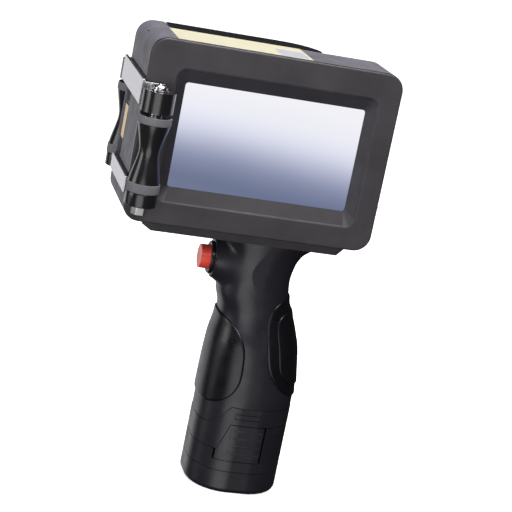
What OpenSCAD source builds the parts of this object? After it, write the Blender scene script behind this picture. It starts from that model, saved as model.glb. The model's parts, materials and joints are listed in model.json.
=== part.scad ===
// Handheld marking printer with a pistol grip, a touch screen, two guide rollers and a slide-in
// battery pack. Millimetres. The origin is the centre of the flat base of the battery pack, +Z up,
// -Y towards the person reading the screen, and the printing side is -X.

/* [Head] */
// Width of the head from the printing side to the far side
head_w = 134; // [112:1:160]
// Height of the head
head_h = 96; // [80:1:115]
// Depth of the head from the screen face to the back of the cartridge cover
head_d = 57; // [50:1:68]
// Depth of the screen half of the head
screen_half_d = 36; // [32:1:40]
// Corner radius of the head seen from the front
head_r = 9; // [6:0.5:12]
// Distance from the grip's axis to the middle of the head, towards the printing side
head_shift = 22.7; // [14:0.1:28]
// Wall thickness of the mouldings
wall = 2.4; // [2:0.1:3]

/* [Screen] */
// Width of the visible glass
screen_w = 96; // [78:1:110]
// Height of the visible glass
screen_h = 55; // [46:1:64]
// Depth of the sloping recess round the glass
recess_d = 3; // [2:0.5:4]

/* [Grip and battery] */
// Height from the base of the battery pack to the underside of the head
grip_h = 146.5; // [125:0.5:176]
// Width and depth of the battery pack
pack_w = 52; // [46:0.5:60]
// Height of the base cap of the battery pack
base_cap_h = 12.9; // [9:0.1:15]

/* [Buttons] */
// Radius of the red trigger button
trigger_r = 6.5; // [5:0.1:7.5]
// Travel of the trigger button
trigger_travel = 3; // [2:0.1:3.5]
// Length of the red power rocker
rocker_l = 11.2; // [9:0.2:14]
// Width of the red power rocker
rocker_w = 6.7; // [5:0.1:8]

/* [Rollers] */
// Radius of the rubber rings of the guide rollers
tyre_r = 8.55; // [7:0.05:9.5]
// Radius of a roller at its waist
waist_r = 5.4; // [4.6:0.1:6.5]
// Distance the rollers stand out past the printing side of the head
roller_proud = 2; // [1.8:0.1:3.2]

/* [Hidden] */

$fn = 64;
far = 200;                       // longer than any piece, for cutting tools
eps = 0.01;
hair = 0.3;                      // gap between two mouldings of one body
run = 0.05;                      // radial clearance of a turning or sliding fit

// head: planes counted back from the screen face
cover_rim = 2.2;                 // thickness of the front cover at its edge
seam = 0.6;                      // width of the dark seam groove
glass_y = recess_d + 0.6;
glass_t = 1.1;
display_t = 3;
partition_y = 29;                // front of the wall between electronics and cartridge bay
bay_y = partition_y + wall;
board_y = 18;
board_t = 1.6;
screen_x = 2.1;                  // the glass sits a little off centre, away from the rollers
screen_z = head_h / 2 - 0.6;
slope_top = 7.3;                 // width of the sloping border on each side of the glass
slope_side = 5.8;
slope_bottom = 8;
boss_in = 8.5;                   // distance of a corner screw from the sides of the head
boss_r = 3.5;
screw_r = 1.5;

// cartridge bay, behind the screen half on the printing side
cover_left = -head_w / 2 + 15;
cover_right = head_w / 2 - 36;
cover_round = head_d - screen_half_d - 2;
knuckle_r = 3.4;
hinge_x = cover_right - knuckle_r - 0.2;
hinge_y = screen_half_d + knuckle_r + hair + 0.1;
hinge_r = 1.5;
mouth_z = [23, 61];              // the printing mouth in the side wall
mouth_y = [screen_half_d + 2.5, head_d - wall];
hinge_lugs = [[14.3, 26], [head_h - 26, head_h - 14.3]];
hinge_barrels = [[wall - eps, 14], [head_h - 14, head_h - wall + eps]];
cartridge_x = [cover_left + 4, cover_right - cover_round];
cradle_t = 3;
cartridge_y = [bay_y + 1.6, head_d - wall - 1.2];
cartridge_z = [16, head_h - 13];
snout_y = [mouth_y[0] + 2, mouth_y[1] - 3];
snout_z = [mouth_z[0] + 8, mouth_z[1] - 8];
nozzle_x = -head_w / 2 + 0.6;

// brackets and rollers
strip_t = 1.4;
strip_x = -head_w / 2 - roller_proud;
upper_strip_z = [61.3, 74.1];
lower_strip_z = [14.9, 23.4];
strip_front = -3.2;
strip_back = head_d + 8.6;
lower_back = head_d - 6.5;
roller_x = strip_x + tyre_r;
front_roller_y = -tyre_r - 1.45;
rear_roller_y = strip_back + 6.8;
block_r = tyre_r - 0.25;
block_z = [60, 70.8];
roller_z = [11.5, 58.2];
upper_tyre_z = [53.8, 58];
lower_tyre_z = [18.6, 23.6];
waist_z = [38, 41];
axle_r = 2;
bearing_r = 4;
bearing_t = 3;
nut_z = [6.6, 10.9];

// mount plate under the head
plate_t = 6;
plate_y = [8.5, head_d - 8.5];
plate_x = [-head_w * 0.403, head_w * 0.418];

// grip: [share of the grip's height, centre, half width, half depth], foot to root, the last three
// as shares of the battery pack's half width
grip_stations = [
    [0.00, 0, 1, 1],
    [0.38, 0, 1, 1],
    [0.42, -0.01, 0.985, 0.995],
    [0.50, -0.04, 0.945, 0.965],
    [0.57, -0.06, 0.90, 0.915],
    [0.63, -0.09, 0.82, 0.83],
    [0.69, -0.16, 0.765, 0.765],
    [0.75, -0.26, 0.76, 0.745],
    [0.82, -0.28, 0.74, 0.73],
    [0.88, -0.255, 0.77, 0.745],
    [0.92, -0.21, 0.84, 0.755],
    [0.96, -0.12, 0.99, 0.77]
];
squareness = 0.8;                // 1 would make the grip's section an ellipse
grip_wall = 2;
pad_lift = 0.25;                 // thickness of the glue under a pad
grip_top = grip_h - plate_t;
grip_zs = grip_h / 146.5;        // heights along the grip follow its length
pack_r = pack_w / 2 - 4.5;       // corner radius of the battery pack
pack_s = pack_w / 52;            // distances across the grip follow the pack

// edges that step down on the trigger side: [x, z] of the two ends of the slanting part
collar_top = [[-21 * pack_s, 38 * grip_zs], [-11 * pack_s, 50 * grip_zs]];
pack_top = [[-15 * pack_s, 25 * grip_zs], [-10 * pack_s, 40.4 * grip_zs]];
panel_x = [-8.7 * pack_s, 6.3 * pack_s];
panel_z = [43.6 * grip_zs, 46.9 * grip_zs];
panel_line = 0.5;                // width and depth of the frame pressed into the collar
tongue_z = [30 * grip_zs, 57 * grip_zs];
tongue_cut = 17 * pack_s;
stem_gap = 0.7;
tongue_in = wall + 1.6;
stem_out = tongue_in + stem_gap;
stem_in = stem_out + 1.3;
stem_top = 72.5 * grip_zs;
floor_z = [base_cap_h + hair, base_cap_h + 5.6];
cell_r = (pack_w / 2 - stem_in) / (1 + 2 / sqrt(3)) - 0.08;
cell_z = [wall + 1.6, stem_top - 3.5];
tab_z = [floor_z[1] + 0.8, pack_top[1][1] - 0.4];
tab_right = 9.3 * pack_s;
tab_left = -15.2 * pack_s;
tab_t = 2;
base_screw_r = 1.2;
base_screw_at = 0.4577 * pack_w;  // distance of a base screw from the axis

// trigger, on a boss on the printing side of the grip
trigger_z = grip_h - 21.3;
grip_side = grip_x(trigger_z) - grip_half_w(trigger_z);
boss_face = grip_side - 5.7;
trigger_boss_r = trigger_r + 5;

// power rocker, on the far side wall of the head, with its lower end standing out
power_y = 13.2;
power_z = 27.2;
rocker_end = 2.6;                // how far its ends stand out of the wall when it is level
rocker_dip = 1;                  // how far its middle stands out
rocker_tilt = 11;
pivot_in = 1;                    // depth of its pivot in the wall
pivot_r = 1;
rocker_gap = 0.25;
housing_wall = 0.8;
housing_d = 13;
housing_room = 7;                // depth of the hollow that the rocker moves in
flange_t = 1.4;
flange = 0.9;                    // overlap of the housing's rim on the wall
room_half = [rocker_w / 2 + rocker_gap, rocker_l / 2 + 0.9];
housing_half = [room_half[0] + housing_wall, room_half[1] + housing_wall - 0.1];
trigger_proud = 5.2;
ring_proud = 1.8;                // the button's ring stands on the boss by this much

// socket for a data stick, in the far side wall, on the back of the main board
usb_y = [board_y + board_t, board_y + board_t + 7];
usb_z = [55, 69.5];
usb_t = 0.4;

// label on the top of the head
label_x = [-head_w * 0.4, head_w * 0.13];
label_t = 0.25;

stud_y = [10, 24];               // bracket studs, counted back from the screen face
stud_r = 2;
bracket_screw_r = 1.25;
block_screw_z = (block_z[0] + block_z[1]) / 2 + 2.3;
grip_screws_at = [97 * grip_zs, 112 * grip_zs, 134 * grip_zs];
carrier_z = [stem_top + 5, stem_top + 7];

function at_share(k, z) =
    lookup(z / grip_h, [for (s = grip_stations) [s[0], s[k]]]) * pack_w / 2;
function grip_x(z) = at_share(1, z);
function grip_half_w(z) = at_share(2, z);
function grip_half_d(z) = at_share(3, z);

// a point on the grip: angle counted from the front towards +X, height, distance out of the skin
function skin(a, z, out) = [
    grip_x(z) + (grip_half_w(z) + out) * sign(sin(a)) * pow(abs(sin(a)), squareness),
    -(grip_half_d(z) + out) * sign(cos(a)) * pow(abs(cos(a)), squareness),
    z
];

module in_head() {
    translate([-head_shift, -head_d / 2, grip_h])
        children();
}

// a box from two opposite corners
module block(from, to) {
    translate(from)
        cube(to - from);
}

// a cylinder along X, Y or Z from one end to the other
module rod_x(x, y, z, r) {
    translate([x[0], y, z])
        rotate([0, 90, 0])
            cylinder(h = x[1] - x[0], r = r);
}

module rod_y(x, y, z, r) {
    translate([x, y[1], z])
        rotate([90, 0, 0])
            cylinder(h = y[1] - y[0], r = r);
}

module rod_z(x, y, z, r) {
    translate([x, y, z[0]])
        cylinder(h = z[1] - z[0], r = r);
}

module round_rect(w, h, r) {
    square([w - 2 * r, h], center = true);
    square([w, h - 2 * r], center = true);
    for (sx = [-1, 1], sy = [-1, 1])
        translate([sx * (w / 2 - r), sy * (h / 2 - r)])
            circle(r);
}

// a slice of the head between two depths, smaller all round by inset
module head_slab(y, inset) {
    translate([0, y[1], head_h / 2])
        rotate([90, 0, 0])
            linear_extrude(y[1] - y[0])
                round_rect(head_w - 2 * inset, head_h - 2 * inset, head_r - inset);
}

// a slice of the battery pack between two heights, smaller all round by inset
module pack_slab(z, inset) {
    translate([0, 0, z[0]])
        linear_extrude(z[1] - z[0])
            round_rect(pack_w - 2 * inset, pack_w - 2 * inset, pack_r - inset);
}

module pack_ring(z, outer, inner) {
    difference() {
        pack_slab(z, outer);
        pack_slab([z[0] - eps, z[1] + eps], inner);
    }
}

// an outline in X and Z carried from y[0] to y[1]
module along_y(y) {
    translate([0, y[1], 0])
        rotate([90, 0, 0])
            linear_extrude(y[1] - y[0])
                children();
}

// a plate that follows the grip's skin; grid[i][j] is [angle, height], i going round towards +X
module skin_patch(grid, inside, outside) {
    n = len(grid);
    m = len(grid[0]);
    points = [
        for (out = [outside, inside], column = grid, p = column)
            skin(p[0], p[1], out)
    ];
    function id(layer, i, j) = (layer * n + i) * m + j;
    function halves(a, b, c, d) = [[a, b, c], [a, c, d]];
    faces = concat(
        [for (i = [0 : n - 2], j = [0 : m - 2])
            each halves(id(0, i, j), id(0, i, j + 1), id(0, i + 1, j + 1), id(0, i + 1, j))],
        [for (i = [0 : n - 2], j = [0 : m - 2])
            each halves(id(1, i, j), id(1, i + 1, j), id(1, i + 1, j + 1), id(1, i, j + 1))],
        [for (j = [0 : m - 2])
            each halves(id(0, 0, j + 1), id(0, 0, j), id(1, 0, j), id(1, 0, j + 1))],
        [for (j = [0 : m - 2])
            each halves(id(0, n - 1, j), id(0, n - 1, j + 1), id(1, n - 1, j + 1), id(1, n - 1, j))],
        [for (i = [0 : n - 2])
            each halves(id(0, i, 0), id(0, i + 1, 0), id(1, i + 1, 0), id(1, i, 0))],
        [for (i = [0 : n - 2])
            each halves(id(0, i + 1, m - 1), id(0, i, m - 1), id(1, i, m - 1), id(1, i + 1, m - 1))]
    );
    polyhedron(points, faces);
}

// a rounded pad on the grip: middle [angle, height], half angle, half height, how square its
// outline is, and how much wider its top is than its middle
module grip_pad(middle, half_a, half_z, power, lean, inside, outside) {
    steps = 24;
    rows = 14;
    grid = [
        for (i = [0 : steps])
            let (u = sin(88 * (2 * i / steps - 1)), reach = pow(1 - pow(abs(u), power), 1 / power))
                [for (j = [0 : rows])
                    let (v = reach * (2 * j / rows - 1))
                        [middle[0] + u * half_a * (1 + lean * v), middle[1] + v * half_z]]
    ];
    skin_patch(grid, inside, outside);
}

// a coil spring along +X from x = 0
module coil(length, r, wire_r, turns) {
    sides = 8;
    steps = turns * 20;
    rings = [
        for (i = [0 : steps])
            let (a = 360 * turns * i / steps, x = wire_r + (length - 2 * wire_r) * i / steps)
                [for (k = [0 : sides - 1])
                    let (b = 360 * k / sides, q = r + wire_r * cos(b))
                        [x + wire_r * sin(b), q * cos(a), q * sin(a)]]
    ];
    function id(i, k) = i * sides + k % sides;
    polyhedron(
        [for (ring = rings) each ring],
        concat(
            [[for (k = [0 : sides - 1]) k]],
            [for (i = [0 : steps - 1], k = [0 : sides - 1])
                each [[id(i, k), id(i + 1, k), id(i + 1, k + 1)], [id(i, k), id(i + 1, k + 1), id(i, k + 1)]]],
            [[for (k = [sides - 1 : -1 : 0]) id(steps, k)]]
        )
    );
}

// a pan-head screw whose head sits on z = 0 and whose shank runs down -Z
module screw(length, r, head_r, head_h) {
    translate([0, 0, -length])
        cylinder(h = length, r = r);
    difference() {
        cylinder(h = head_h, r = head_r);
        for (a = [0, 90])
            rotate([0, 0, a])
                translate([0, 0, head_h])
                    cube([head_r * 1.2, head_r * 0.25, head_h], center = true);
    }
}

// ---- push buttons: built along +X, with x = 0 at the face they stand in ----

module button_cap(r, proud) {
    rod_x([-proud, 3.4], 0, 0, r);
    rod_x([3.4, 5.6], 0, 0, r + 1.1);
    rod_x([5.6, 9.4], 0, 0, 1.2);
}

module button_bezel(r) {
    difference() {
        rod_x([0, 2], 0, 0, r + 2.3);
        rod_x([-eps, 2 + eps], 0, 0, r + 0.1);
    }
}

module button_spring(r, travel) {
    translate([5.6 + run, 0, 0])
        coil(button_stop(travel) - 5.6 - 2 * run, r * 0.62, 0.35, 4);
}

module button_switch(r, travel) {
    x = button_stop(travel);
    block([x, -r, -r], [x + 7, r, r]);
    rod_x([x - 0.9, x], 0, 0, 1.2);
}

function button_stop(travel) = 9.4 + travel + 1;

// the hollow a push button needs in its wall
module button_hole(r, depth) {
    rod_x([-far, 2], 0, 0, r + 2.3);
    rod_x([0, 3.2], 0, 0, r + 0.1);
    rod_x([3.2, depth], 0, 0, r + 1.4);
}

module at_trigger() {
    translate([boss_face - ring_proud, 0, trigger_z])
        children();
}

module at_power() {
    in_head()
        translate([head_w / 2, power_y, power_z])
            mirror([1, 0, 0])
                children();
}

// ---- head ----

module corner_bosses(y, r) {
    for (sx = [-1, 1], z = [boss_in, head_h - boss_in])
        rod_y(sx * (head_w / 2 - boss_in), y, z, r);
}

module screen_opening(y, grow) {
    block([screen_x - screen_w / 2 - grow, y[0], screen_z - screen_h / 2 - grow],
          [screen_x + screen_w / 2 + grow, y[1], screen_z + screen_h / 2 + grow]);
}

module front_cover() {
    color([0.16, 0.155, 0.17])
        in_head()
            difference() {
                union() {
                    head_slab([0, cover_rim], 0);
                    head_slab([cover_rim, cover_rim + seam], 0.8);
                    screen_opening([0, glass_y], 7);
                    corner_bosses([cover_rim, 6], boss_r);
                }
                hull() {
                    screen_opening([recess_d - eps, recess_d], 0);
                    block([screen_x - screen_w / 2 - slope_side, -eps,
                           screen_z - screen_h / 2 - slope_bottom],
                          [screen_x + screen_w / 2 + slope_side, 0,
                           screen_z + screen_h / 2 + slope_top]);
                }
                screen_opening([recess_d - 2 * eps, far], 0);
                corner_bosses([cover_rim, far], screw_r);
            }
}

module screen_glass() {
    color([0.62, 0.66, 0.76])
        in_head()
            screen_opening([glass_y, glass_y + glass_t], 3);
}

module display_module() {
    color([0.55, 0.56, 0.58])
        in_head()
            screen_opening([glass_y + glass_t, glass_y + glass_t + display_t], 4.5);
}

module mid_casing() {
    color([0.15, 0.145, 0.16])
        in_head()
            difference() {
                union() {
                    difference() {
                        head_slab([cover_rim + seam, screen_half_d], 0);
                        head_slab([-eps, partition_y], wall);
                        block([-head_w / 2 + wall, bay_y, wall],
                              [hinge_x - knuckle_r, far, head_h - wall]);
                        block([hinge_x + wall, partition_y - eps, 2 * boss_in],
                              [head_w / 2 - 2 * boss_in, screen_half_d - wall, head_h - 2 * boss_in]);
                    }
                    corner_bosses([6, partition_y + eps], boss_r);
                    for (z = hinge_lugs) {
                        rod_z(hinge_x, hinge_y, z, knuckle_r - hair);
                        block([hinge_x - knuckle_r + hair, screen_half_d - wall, z[0]],
                              [hinge_x - hair, hinge_y, z[1]]);
                    }
                }
                corner_bosses([-eps, far], screw_r);
                rod_z(hinge_x, hinge_y, [-eps, head_h + eps], hinge_r);
                bracket_studs_at([-far, -head_w / 2 + far / 4], stud_r + run);
                neck_screws_at([-far, wall + eps], screw_r);
                usb_box([head_w / 2 - wall - eps, far], 0.1);
                block([head_w / 2 - wall - eps, power_y - housing_half[0] - 0.1, power_z - housing_half[1] - 0.1],
                      [far, power_y + housing_half[0] + 0.1, power_z + housing_half[1] + 0.1]);
            }
}

module rear_housing() {
    color([0.2, 0.195, 0.21])
        in_head()
            difference() {
                intersection() {
                    head_slab([screen_half_d, head_d], 0);
                    block([-far, 0, -far], [cover_left - hair - 0.1, far, far]);
                }
                head_slab([screen_half_d - eps, head_d - wall], wall);
                block([-far, mouth_y[0], mouth_z[0]], [-head_w / 2 + 2 * wall, mouth_y[1], mouth_z[1]]);
            }
}

// plan of the cartridge cover, or of its inside
module cover_plan(inset) {
    middle = [cover_right - cover_round, head_d - cover_round];
    front = screen_half_d + hair - 10 * inset;
    translate([cover_left - inset, front])
        square([middle[0] - cover_left + inset, head_d - inset - front]);
    intersection() {
        translate(middle)
            circle(cover_round - inset);
        translate([middle[0] - eps, hinge_y])
            square(far);
    }
    translate([middle[0] - eps, front])
        square([hinge_x - middle[0], hinge_y - front]);
    translate([hinge_x, hinge_y])
        circle(knuckle_r - inset);
}

module cartridge_cover() {
    color([0.05, 0.05, 0.055])
        in_head()
            difference() {
                union() {
                    difference() {
                        linear_extrude(head_h)
                            cover_plan(0);
                        translate([0, 0, wall])
                            linear_extrude(head_h - 2 * wall)
                                cover_plan(wall);
                    }
                    for (z = hinge_barrels)
                        rod_z(hinge_x, hinge_y, z, knuckle_r);
                }
                for (z = hinge_lugs)
                    block([hinge_x - knuckle_r - hair, screen_half_d - eps, z[0] - hair],
                          [far, hinge_y + knuckle_r + hair, z[1] + hair]);
                rod_z(hinge_x, hinge_y, [wall, head_h - wall], hinge_r + run);
            }
}

module cover_hinge_pin() {
    color([0.7, 0.7, 0.72])
        in_head()
            rod_z(hinge_x, hinge_y, [wall + hair, head_h - wall - hair], hinge_r);
}

// an L-shaped stop with a shelf above and below the cartridge
module cartridge_cradle() {
    x = [cartridge_x[0] - 1, cartridge_x[1] + 4.2];
    color([0.25, 0.25, 0.27])
        in_head() {
            block([x[0], bay_y, cartridge_z[0] - cradle_t], [x[1], cartridge_y[0], cartridge_z[1] + cradle_t]);
            for (z = [cartridge_z[0] - cradle_t, cartridge_z[1]])
                block([x[0], cartridge_y[0], z], [x[1], cartridge_y[1] - 4, z + cradle_t]);
            block([cartridge_x[1] + 1.9, cartridge_y[0], cartridge_z[0]],
                  [x[1], cartridge_y[1] - 4, cartridge_z[1]]);
        }
}

module contact_block() {
    color([0.8, 0.65, 0.3])
        in_head()
            block([cartridge_x[1] + 0.1, cartridge_y[0] + 4, cartridge_z[0] + 18],
                  [cartridge_x[1] + 1.9, cartridge_y[1] - 4, cartridge_z[0] + 46]);
}

module ink_cartridge() {
    color([0.1, 0.1, 0.11])
        in_head() {
            block([cartridge_x[0], cartridge_y[0], cartridge_z[0]],
                  [cartridge_x[1], cartridge_y[1], cartridge_z[1]]);
            block([nozzle_x + 0.6, snout_y[0], snout_z[0]], [cartridge_x[0] + eps, snout_y[1], snout_z[1]]);
        }
}

module nozzle_plate() {
    color([0.75, 0.62, 0.35])
        in_head()
            block([nozzle_x, snout_y[0] + 1, snout_z[0] + 2], [nozzle_x + 0.6, snout_y[1] - 1, snout_z[1] - 2]);
}

module main_board() {
    color([0.08, 0.3, 0.18])
        in_head()
            difference() {
                block([-head_w / 2 + 13, board_y, 13], [head_w / 2 - 13, board_y + board_t, head_h - 13]);
                block([head_w / 2 - 22, board_y - eps, -far],
                      [far, board_y + board_t + eps, power_z + housing_half[1] + 2]);
                board_posts([board_y - eps, far], screw_r);
            }
}

module board_posts(y, r) {
    for (x = [-head_w / 2 + 20, head_w / 2 - 32], z = [20, head_h - 20])
        rod_y(x, y, z, r);
}

module board_spacers() {
    color([0.8, 0.7, 0.4])
        in_head() {
            board_posts([board_y + board_t, partition_y], 3);
            board_posts([board_y, board_y + board_t], screw_r);
        }
}

module usb_box(x, grow) {
    block([x[0], usb_y[0] - grow, usb_z[0] - grow], [x[1], usb_y[1] + grow, usb_z[1] + grow]);
}

module usb_port() {
    color([0.75, 0.75, 0.77])
        in_head() {
            difference() {
                usb_box([head_w / 2 - 16, head_w / 2 - 0.4], 0);
                usb_box([head_w / 2 - 15, far], -usb_t);
            }
            block([head_w / 2 - 15 - eps, usb_y[0] + 1.4, usb_z[0] + 1.6],
                  [head_w / 2 - 3, usb_y[0] + 3.3, usb_z[1] - 1.6]);
        }
}

module top_label() {
    color([0.9, 0.88, 0.72])
        in_head()
            block([label_x[0], cover_rim + seam + 0.4, head_h],
                  [label_x[1], screen_half_d - 0.5, head_h + label_t]);
}

module label_patch() {
    color([0.88, 0.88, 0.93])
        in_head()
            block([label_x[1] - 16.7, cover_rim + seam + 1.3, head_h + label_t],
                  [label_x[1] - 1.5, cover_rim + seam + 19.5, head_h + label_t + 0.1]);
}

module casing_screws() {
    color([0.3, 0.3, 0.32])
        in_head()
            for (side = [[-1, bay_y], [1, screen_half_d]], z = [boss_in, head_h - boss_in])
                translate([side[0] * (head_w / 2 - boss_in), side[1], z])
                    rotate([-90, 0, 0])
                        screw(side[1] - 3.5, screw_r, 2.8, 1.8);
}

// ---- mount plate and grip ----

module neck_screws_at(z, r) {
    for (x = [plate_x[0] + 9, plate_x[1] - 10], y = [plate_y[0] + 6, partition_y - 4])
        rod_z(x, y, z, r);
}

module mount_plate() {
    color([0.14, 0.135, 0.15])
        in_head()
            difference() {
                along_y(plate_y)
                    polygon([
                        [plate_x[0], 0], [plate_x[1], 0], [plate_x[1], -2], [plate_x[1] - 3.5, -plate_t],
                        [plate_x[0] + 5, -plate_t], [plate_x[0], -3]
                    ]);
                block([-far, screen_half_d, -0.4], [far, far, far]);
                neck_screws_at([-far, far], screw_r);
                neck_screws_at([-far, -plate_t + 2.2], 3.2);
                rod_z(head_shift - 4, head_d / 2, [-far, far], 8);
            }
}

module neck_screws() {
    color([0.3, 0.3, 0.32])
        in_head() {
            neck_screws_at([-plate_t + 2.2, wall + 3], screw_r);
            neck_screws_at([-plate_t + 0.5, -plate_t + 2.2], 2.8);
        }
}

module grip_bosses(y, r) {
    for (z = grip_screws_at)
        rod_y(grip_x(z) + 4, [y * (grip_half_d(z) - 1), 0], z, r);
}

// the half of the grip on the screen side; the other half is its mirror image
module grip_half() {
    rows = 18;
    shelf_z = [carrier_z[0] - 2, carrier_z[0]];
    low = collar_top[0][1];
    shell = [for (a = [-90 : 5 : 90]) [for (j = [0 : rows]) [a, low + (grip_top - low) * j / rows]]];
    difference() {
        union() {
            skin_patch(shell, -grip_wall, 0);
            intersection() {
                translate([boss_face, 0, trigger_z])
                    rotate([0, 90, 0])
                        cylinder(h = grip_side + 5 - boss_face, r1 = trigger_boss_r, r2 = trigger_boss_r + 2.5);
                block([-far, -far, 0], [far, 0, far]);
            }
            grip_bosses(-1, 3.2);
            block([-6, -grip_half_d(shelf_z[0]) + 1, shelf_z[0]], [6, -15 * pack_s, shelf_z[1]]);
            block([grip_side + 8, -0.82 * grip_half_d(trigger_z), trigger_z - 5],
                  [grip_side + 11, -trigger_r, trigger_z + 5]);
        }
        along_y([-far, far])
            translate([0, hair])
                polygon([[-far, 0], [-far, low], collar_top[0], collar_top[1],
                         [far, collar_top[1][1]], [far, 0]]);
        at_trigger()
            button_hole(trigger_r, 16);
        for (z = grip_screws_at)
            rod_y(grip_x(z) + 4, [-grip_half_d(z) + 3.5, 1], z, screw_r);
    }
}

module grip_front_shell() {
    color([0.13, 0.13, 0.145])
        grip_half();
}

module grip_rear_shell() {
    color([0.13, 0.13, 0.145])
        difference() {
            mirror([0, 1, 0])
                grip_half();
            for (z = grip_screws_at) {
                rod_y(grip_x(z) + 4, [0, far], z, screw_r);
                rod_y(grip_x(z) + 4, [grip_half_d(z) - 3, far], z, 3);
            }
        }
}

module grip_screws() {
    color([0.3, 0.3, 0.32])
        for (z = grip_screws_at)
            translate([grip_x(z) + 4, grip_half_d(z) - 3, z])
                rotate([-90, 0, 0])
                    screw(2 * grip_half_d(z) - 7, screw_r, 2.7, 1.8);
}

module left_grip_pad() {
    color([0.12, 0.12, 0.13])
        grip_pad([-90, 73 * grip_zs], 76, 24.3 * grip_zs, 2.8, 0, pad_lift, 1.1);
}

module right_grip_pad() {
    color([0.12, 0.12, 0.13])
        grip_pad([90, 84.5 * grip_zs], 84, 27.3 * grip_zs, 3, 0.06, pad_lift, 0.95);
}

module right_palm_pad() {
    color([0.11, 0.11, 0.12])
        grip_pad([90, 84.5 * grip_zs], 70, 20.3 * grip_zs, 4, 0.05, 0.95 + pad_lift, 1.7);
}

// the outline of a blank panel, pressed into the front and the back of the collar
module collar_panel() {
    intersection() {
        pack_ring(panel_z, -1, panel_line);
        along_y([-far, far])
            difference() {
                translate([panel_x[0], panel_z[0]])
                    square([panel_x[1] - panel_x[0], panel_z[1] - panel_z[0]]);
                translate([panel_x[0] + panel_line, panel_z[0] + panel_line])
                    square([panel_x[1] - panel_x[0] - 2 * panel_line,
                            panel_z[1] - panel_z[0] - 2 * panel_line]);
            }
    }
}

module battery_collar() {
    color([0.13, 0.13, 0.145])
        difference() {
            union() {
                intersection() {
                    pack_ring([pack_top[0][1] - 1, collar_top[1][1] + 1], 0, wall);
                    along_y([-far, far])
                        polygon([
                            [-far, pack_top[0][1]], pack_top[0], pack_top[1], [far, pack_top[1][1]],
                            [far, collar_top[1][1]], collar_top[1], collar_top[0],
                            [-far, collar_top[0][1]]
                        ]);
                }
                difference() {
                    union() {
                        pack_ring(tongue_z, wall + 0.2, tongue_in);
                        pack_ring([collar_top[0][1] - 6, collar_top[0][1] - 2], wall - eps, tongue_in);
                    }
                    block([-tongue_cut, -far, 0], [tongue_cut, far, pack_top[1][1] + 2]);
                }
            }
            collar_panel();
        }
}

module contact_carrier() {
    color([0.2, 0.2, 0.22])
        difference() {
            pack_slab(carrier_z, 7.5);
            carrier_pins_at([0, far], 1);
        }
}

module carrier_pins_at(z, r) {
    for (x = [-8, 0, 8])
        rod_z(x, 0, z, r);
}

module carrier_pins() {
    color([0.8, 0.65, 0.3])
        carrier_pins_at([stem_top + 0.7, carrier_z[1] + 4], 1);
}

// ---- buttons ----

module trigger_button() {
    color([0.88, 0.18, 0.12])
        at_trigger()
            button_cap(trigger_r, trigger_proud);
}

module trigger_bezel() {
    color([0.05, 0.05, 0.055])
        at_trigger()
            button_bezel(trigger_r);
}

module trigger_spring() {
    color([0.75, 0.75, 0.77])
        at_trigger()
            button_spring(trigger_r, trigger_travel);
}

module trigger_switch() {
    color([0.2, 0.2, 0.22])
        at_trigger()
            button_switch(trigger_r, trigger_travel);
}

// ---- power rocker: built along +X, with x = 0 at the outside of the wall ----

// turned to its rest place, with its lower end out
module tilted() {
    translate([pivot_in, 0, 0])
        rotate([0, rocker_tilt, 0])
            translate([-pivot_in, 0, 0])
                children();
}

module power_rocker() {
    end = rocker_l / 2;
    color([0.88, 0.18, 0.12])
        at_power()
            tilted() {
                along_y([-rocker_w / 2, rocker_w / 2])
                    polygon([
                        [-rocker_end, -end], [-rocker_dip, 0], [-rocker_end, end], [0.2, end - 1.2],
                        [2.2, end * 0.36], [2.2, -end * 0.36], [0.2, 1.2 - end]
                    ]);
                rod_y(pivot_in, [-room_half[0] - 0.4, room_half[0] + 0.4], 0, pivot_r);
            }
}

module power_housing() {
    half = housing_half;
    color([0.05, 0.05, 0.055])
        at_power()
            difference() {
                union() {
                    block([-flange_t, -half[0] - flange, -half[1] - flange],
                          [0, half[0] + flange, half[1] + flange]);
                    block([-eps, -half[0], -half[1]], [housing_d, half[0], half[1]]);
                }
                block([-far, -room_half[0], -room_half[1]], [housing_room, room_half[0], room_half[1]]);
                rod_y(pivot_in, [-room_half[0] - 0.5, room_half[0] + 0.5], 0, pivot_r + run);
            }
}

module power_terminals() {
    color([0.8, 0.65, 0.3])
        at_power()
            for (z = [-4, 0, 4])
                block([housing_d, -1.6, z - 0.4], [housing_d + 5, 1.6, z + 0.4]);
}

// ---- brackets and rollers ----

module bracket_studs_at(x, r) {
    for (y = stud_y, z = [upper_strip_z, lower_strip_z])
        rod_x(x, y, (z[0] + z[1]) / 2, r);
}

// the two ends of the upper bracket: y of the outer face of the fold, and which way it faces
bracket_ends = [[strip_front, -1], [strip_back, 1]];

module bracket_screw_holes(r) {
    for (end = bracket_ends)
        rod_y(roller_x, [end[0] - 6, end[0] + 6], block_screw_z, r);
}

module upper_bracket() {
    z = upper_strip_z;
    color([0.82, 0.83, 0.85])
        in_head()
            difference() {
                union() {
                    block([strip_x, strip_front, z[0]], [strip_x + strip_t, strip_back, z[1]]);
                    for (end = bracket_ends)
                        block([strip_x, min(end[0], end[0] - end[1] * strip_t), z[0] + 1.2],
                              [roller_x + 3, max(end[0], end[0] - end[1] * strip_t), z[1] - 1.2]);
                }
                bracket_screw_holes(bracket_screw_r);
            }
}

module lower_bracket() {
    color([0.82, 0.83, 0.85])
        in_head()
            block([strip_x, strip_front, lower_strip_z[0]],
                  [strip_x + strip_t, lower_back, lower_strip_z[1]]);
}

module bracket_pads() {
    color([0.04, 0.04, 0.04])
        in_head()
            difference() {
                for (strip = [upper_strip_z, lower_strip_z])
                    block([strip_x + strip_t, 1, strip[0] + 1], [-head_w / 2, lower_back - 1, strip[1] + 1]);
                bracket_studs_at([-far, far], stud_r + run);
            }
}

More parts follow.
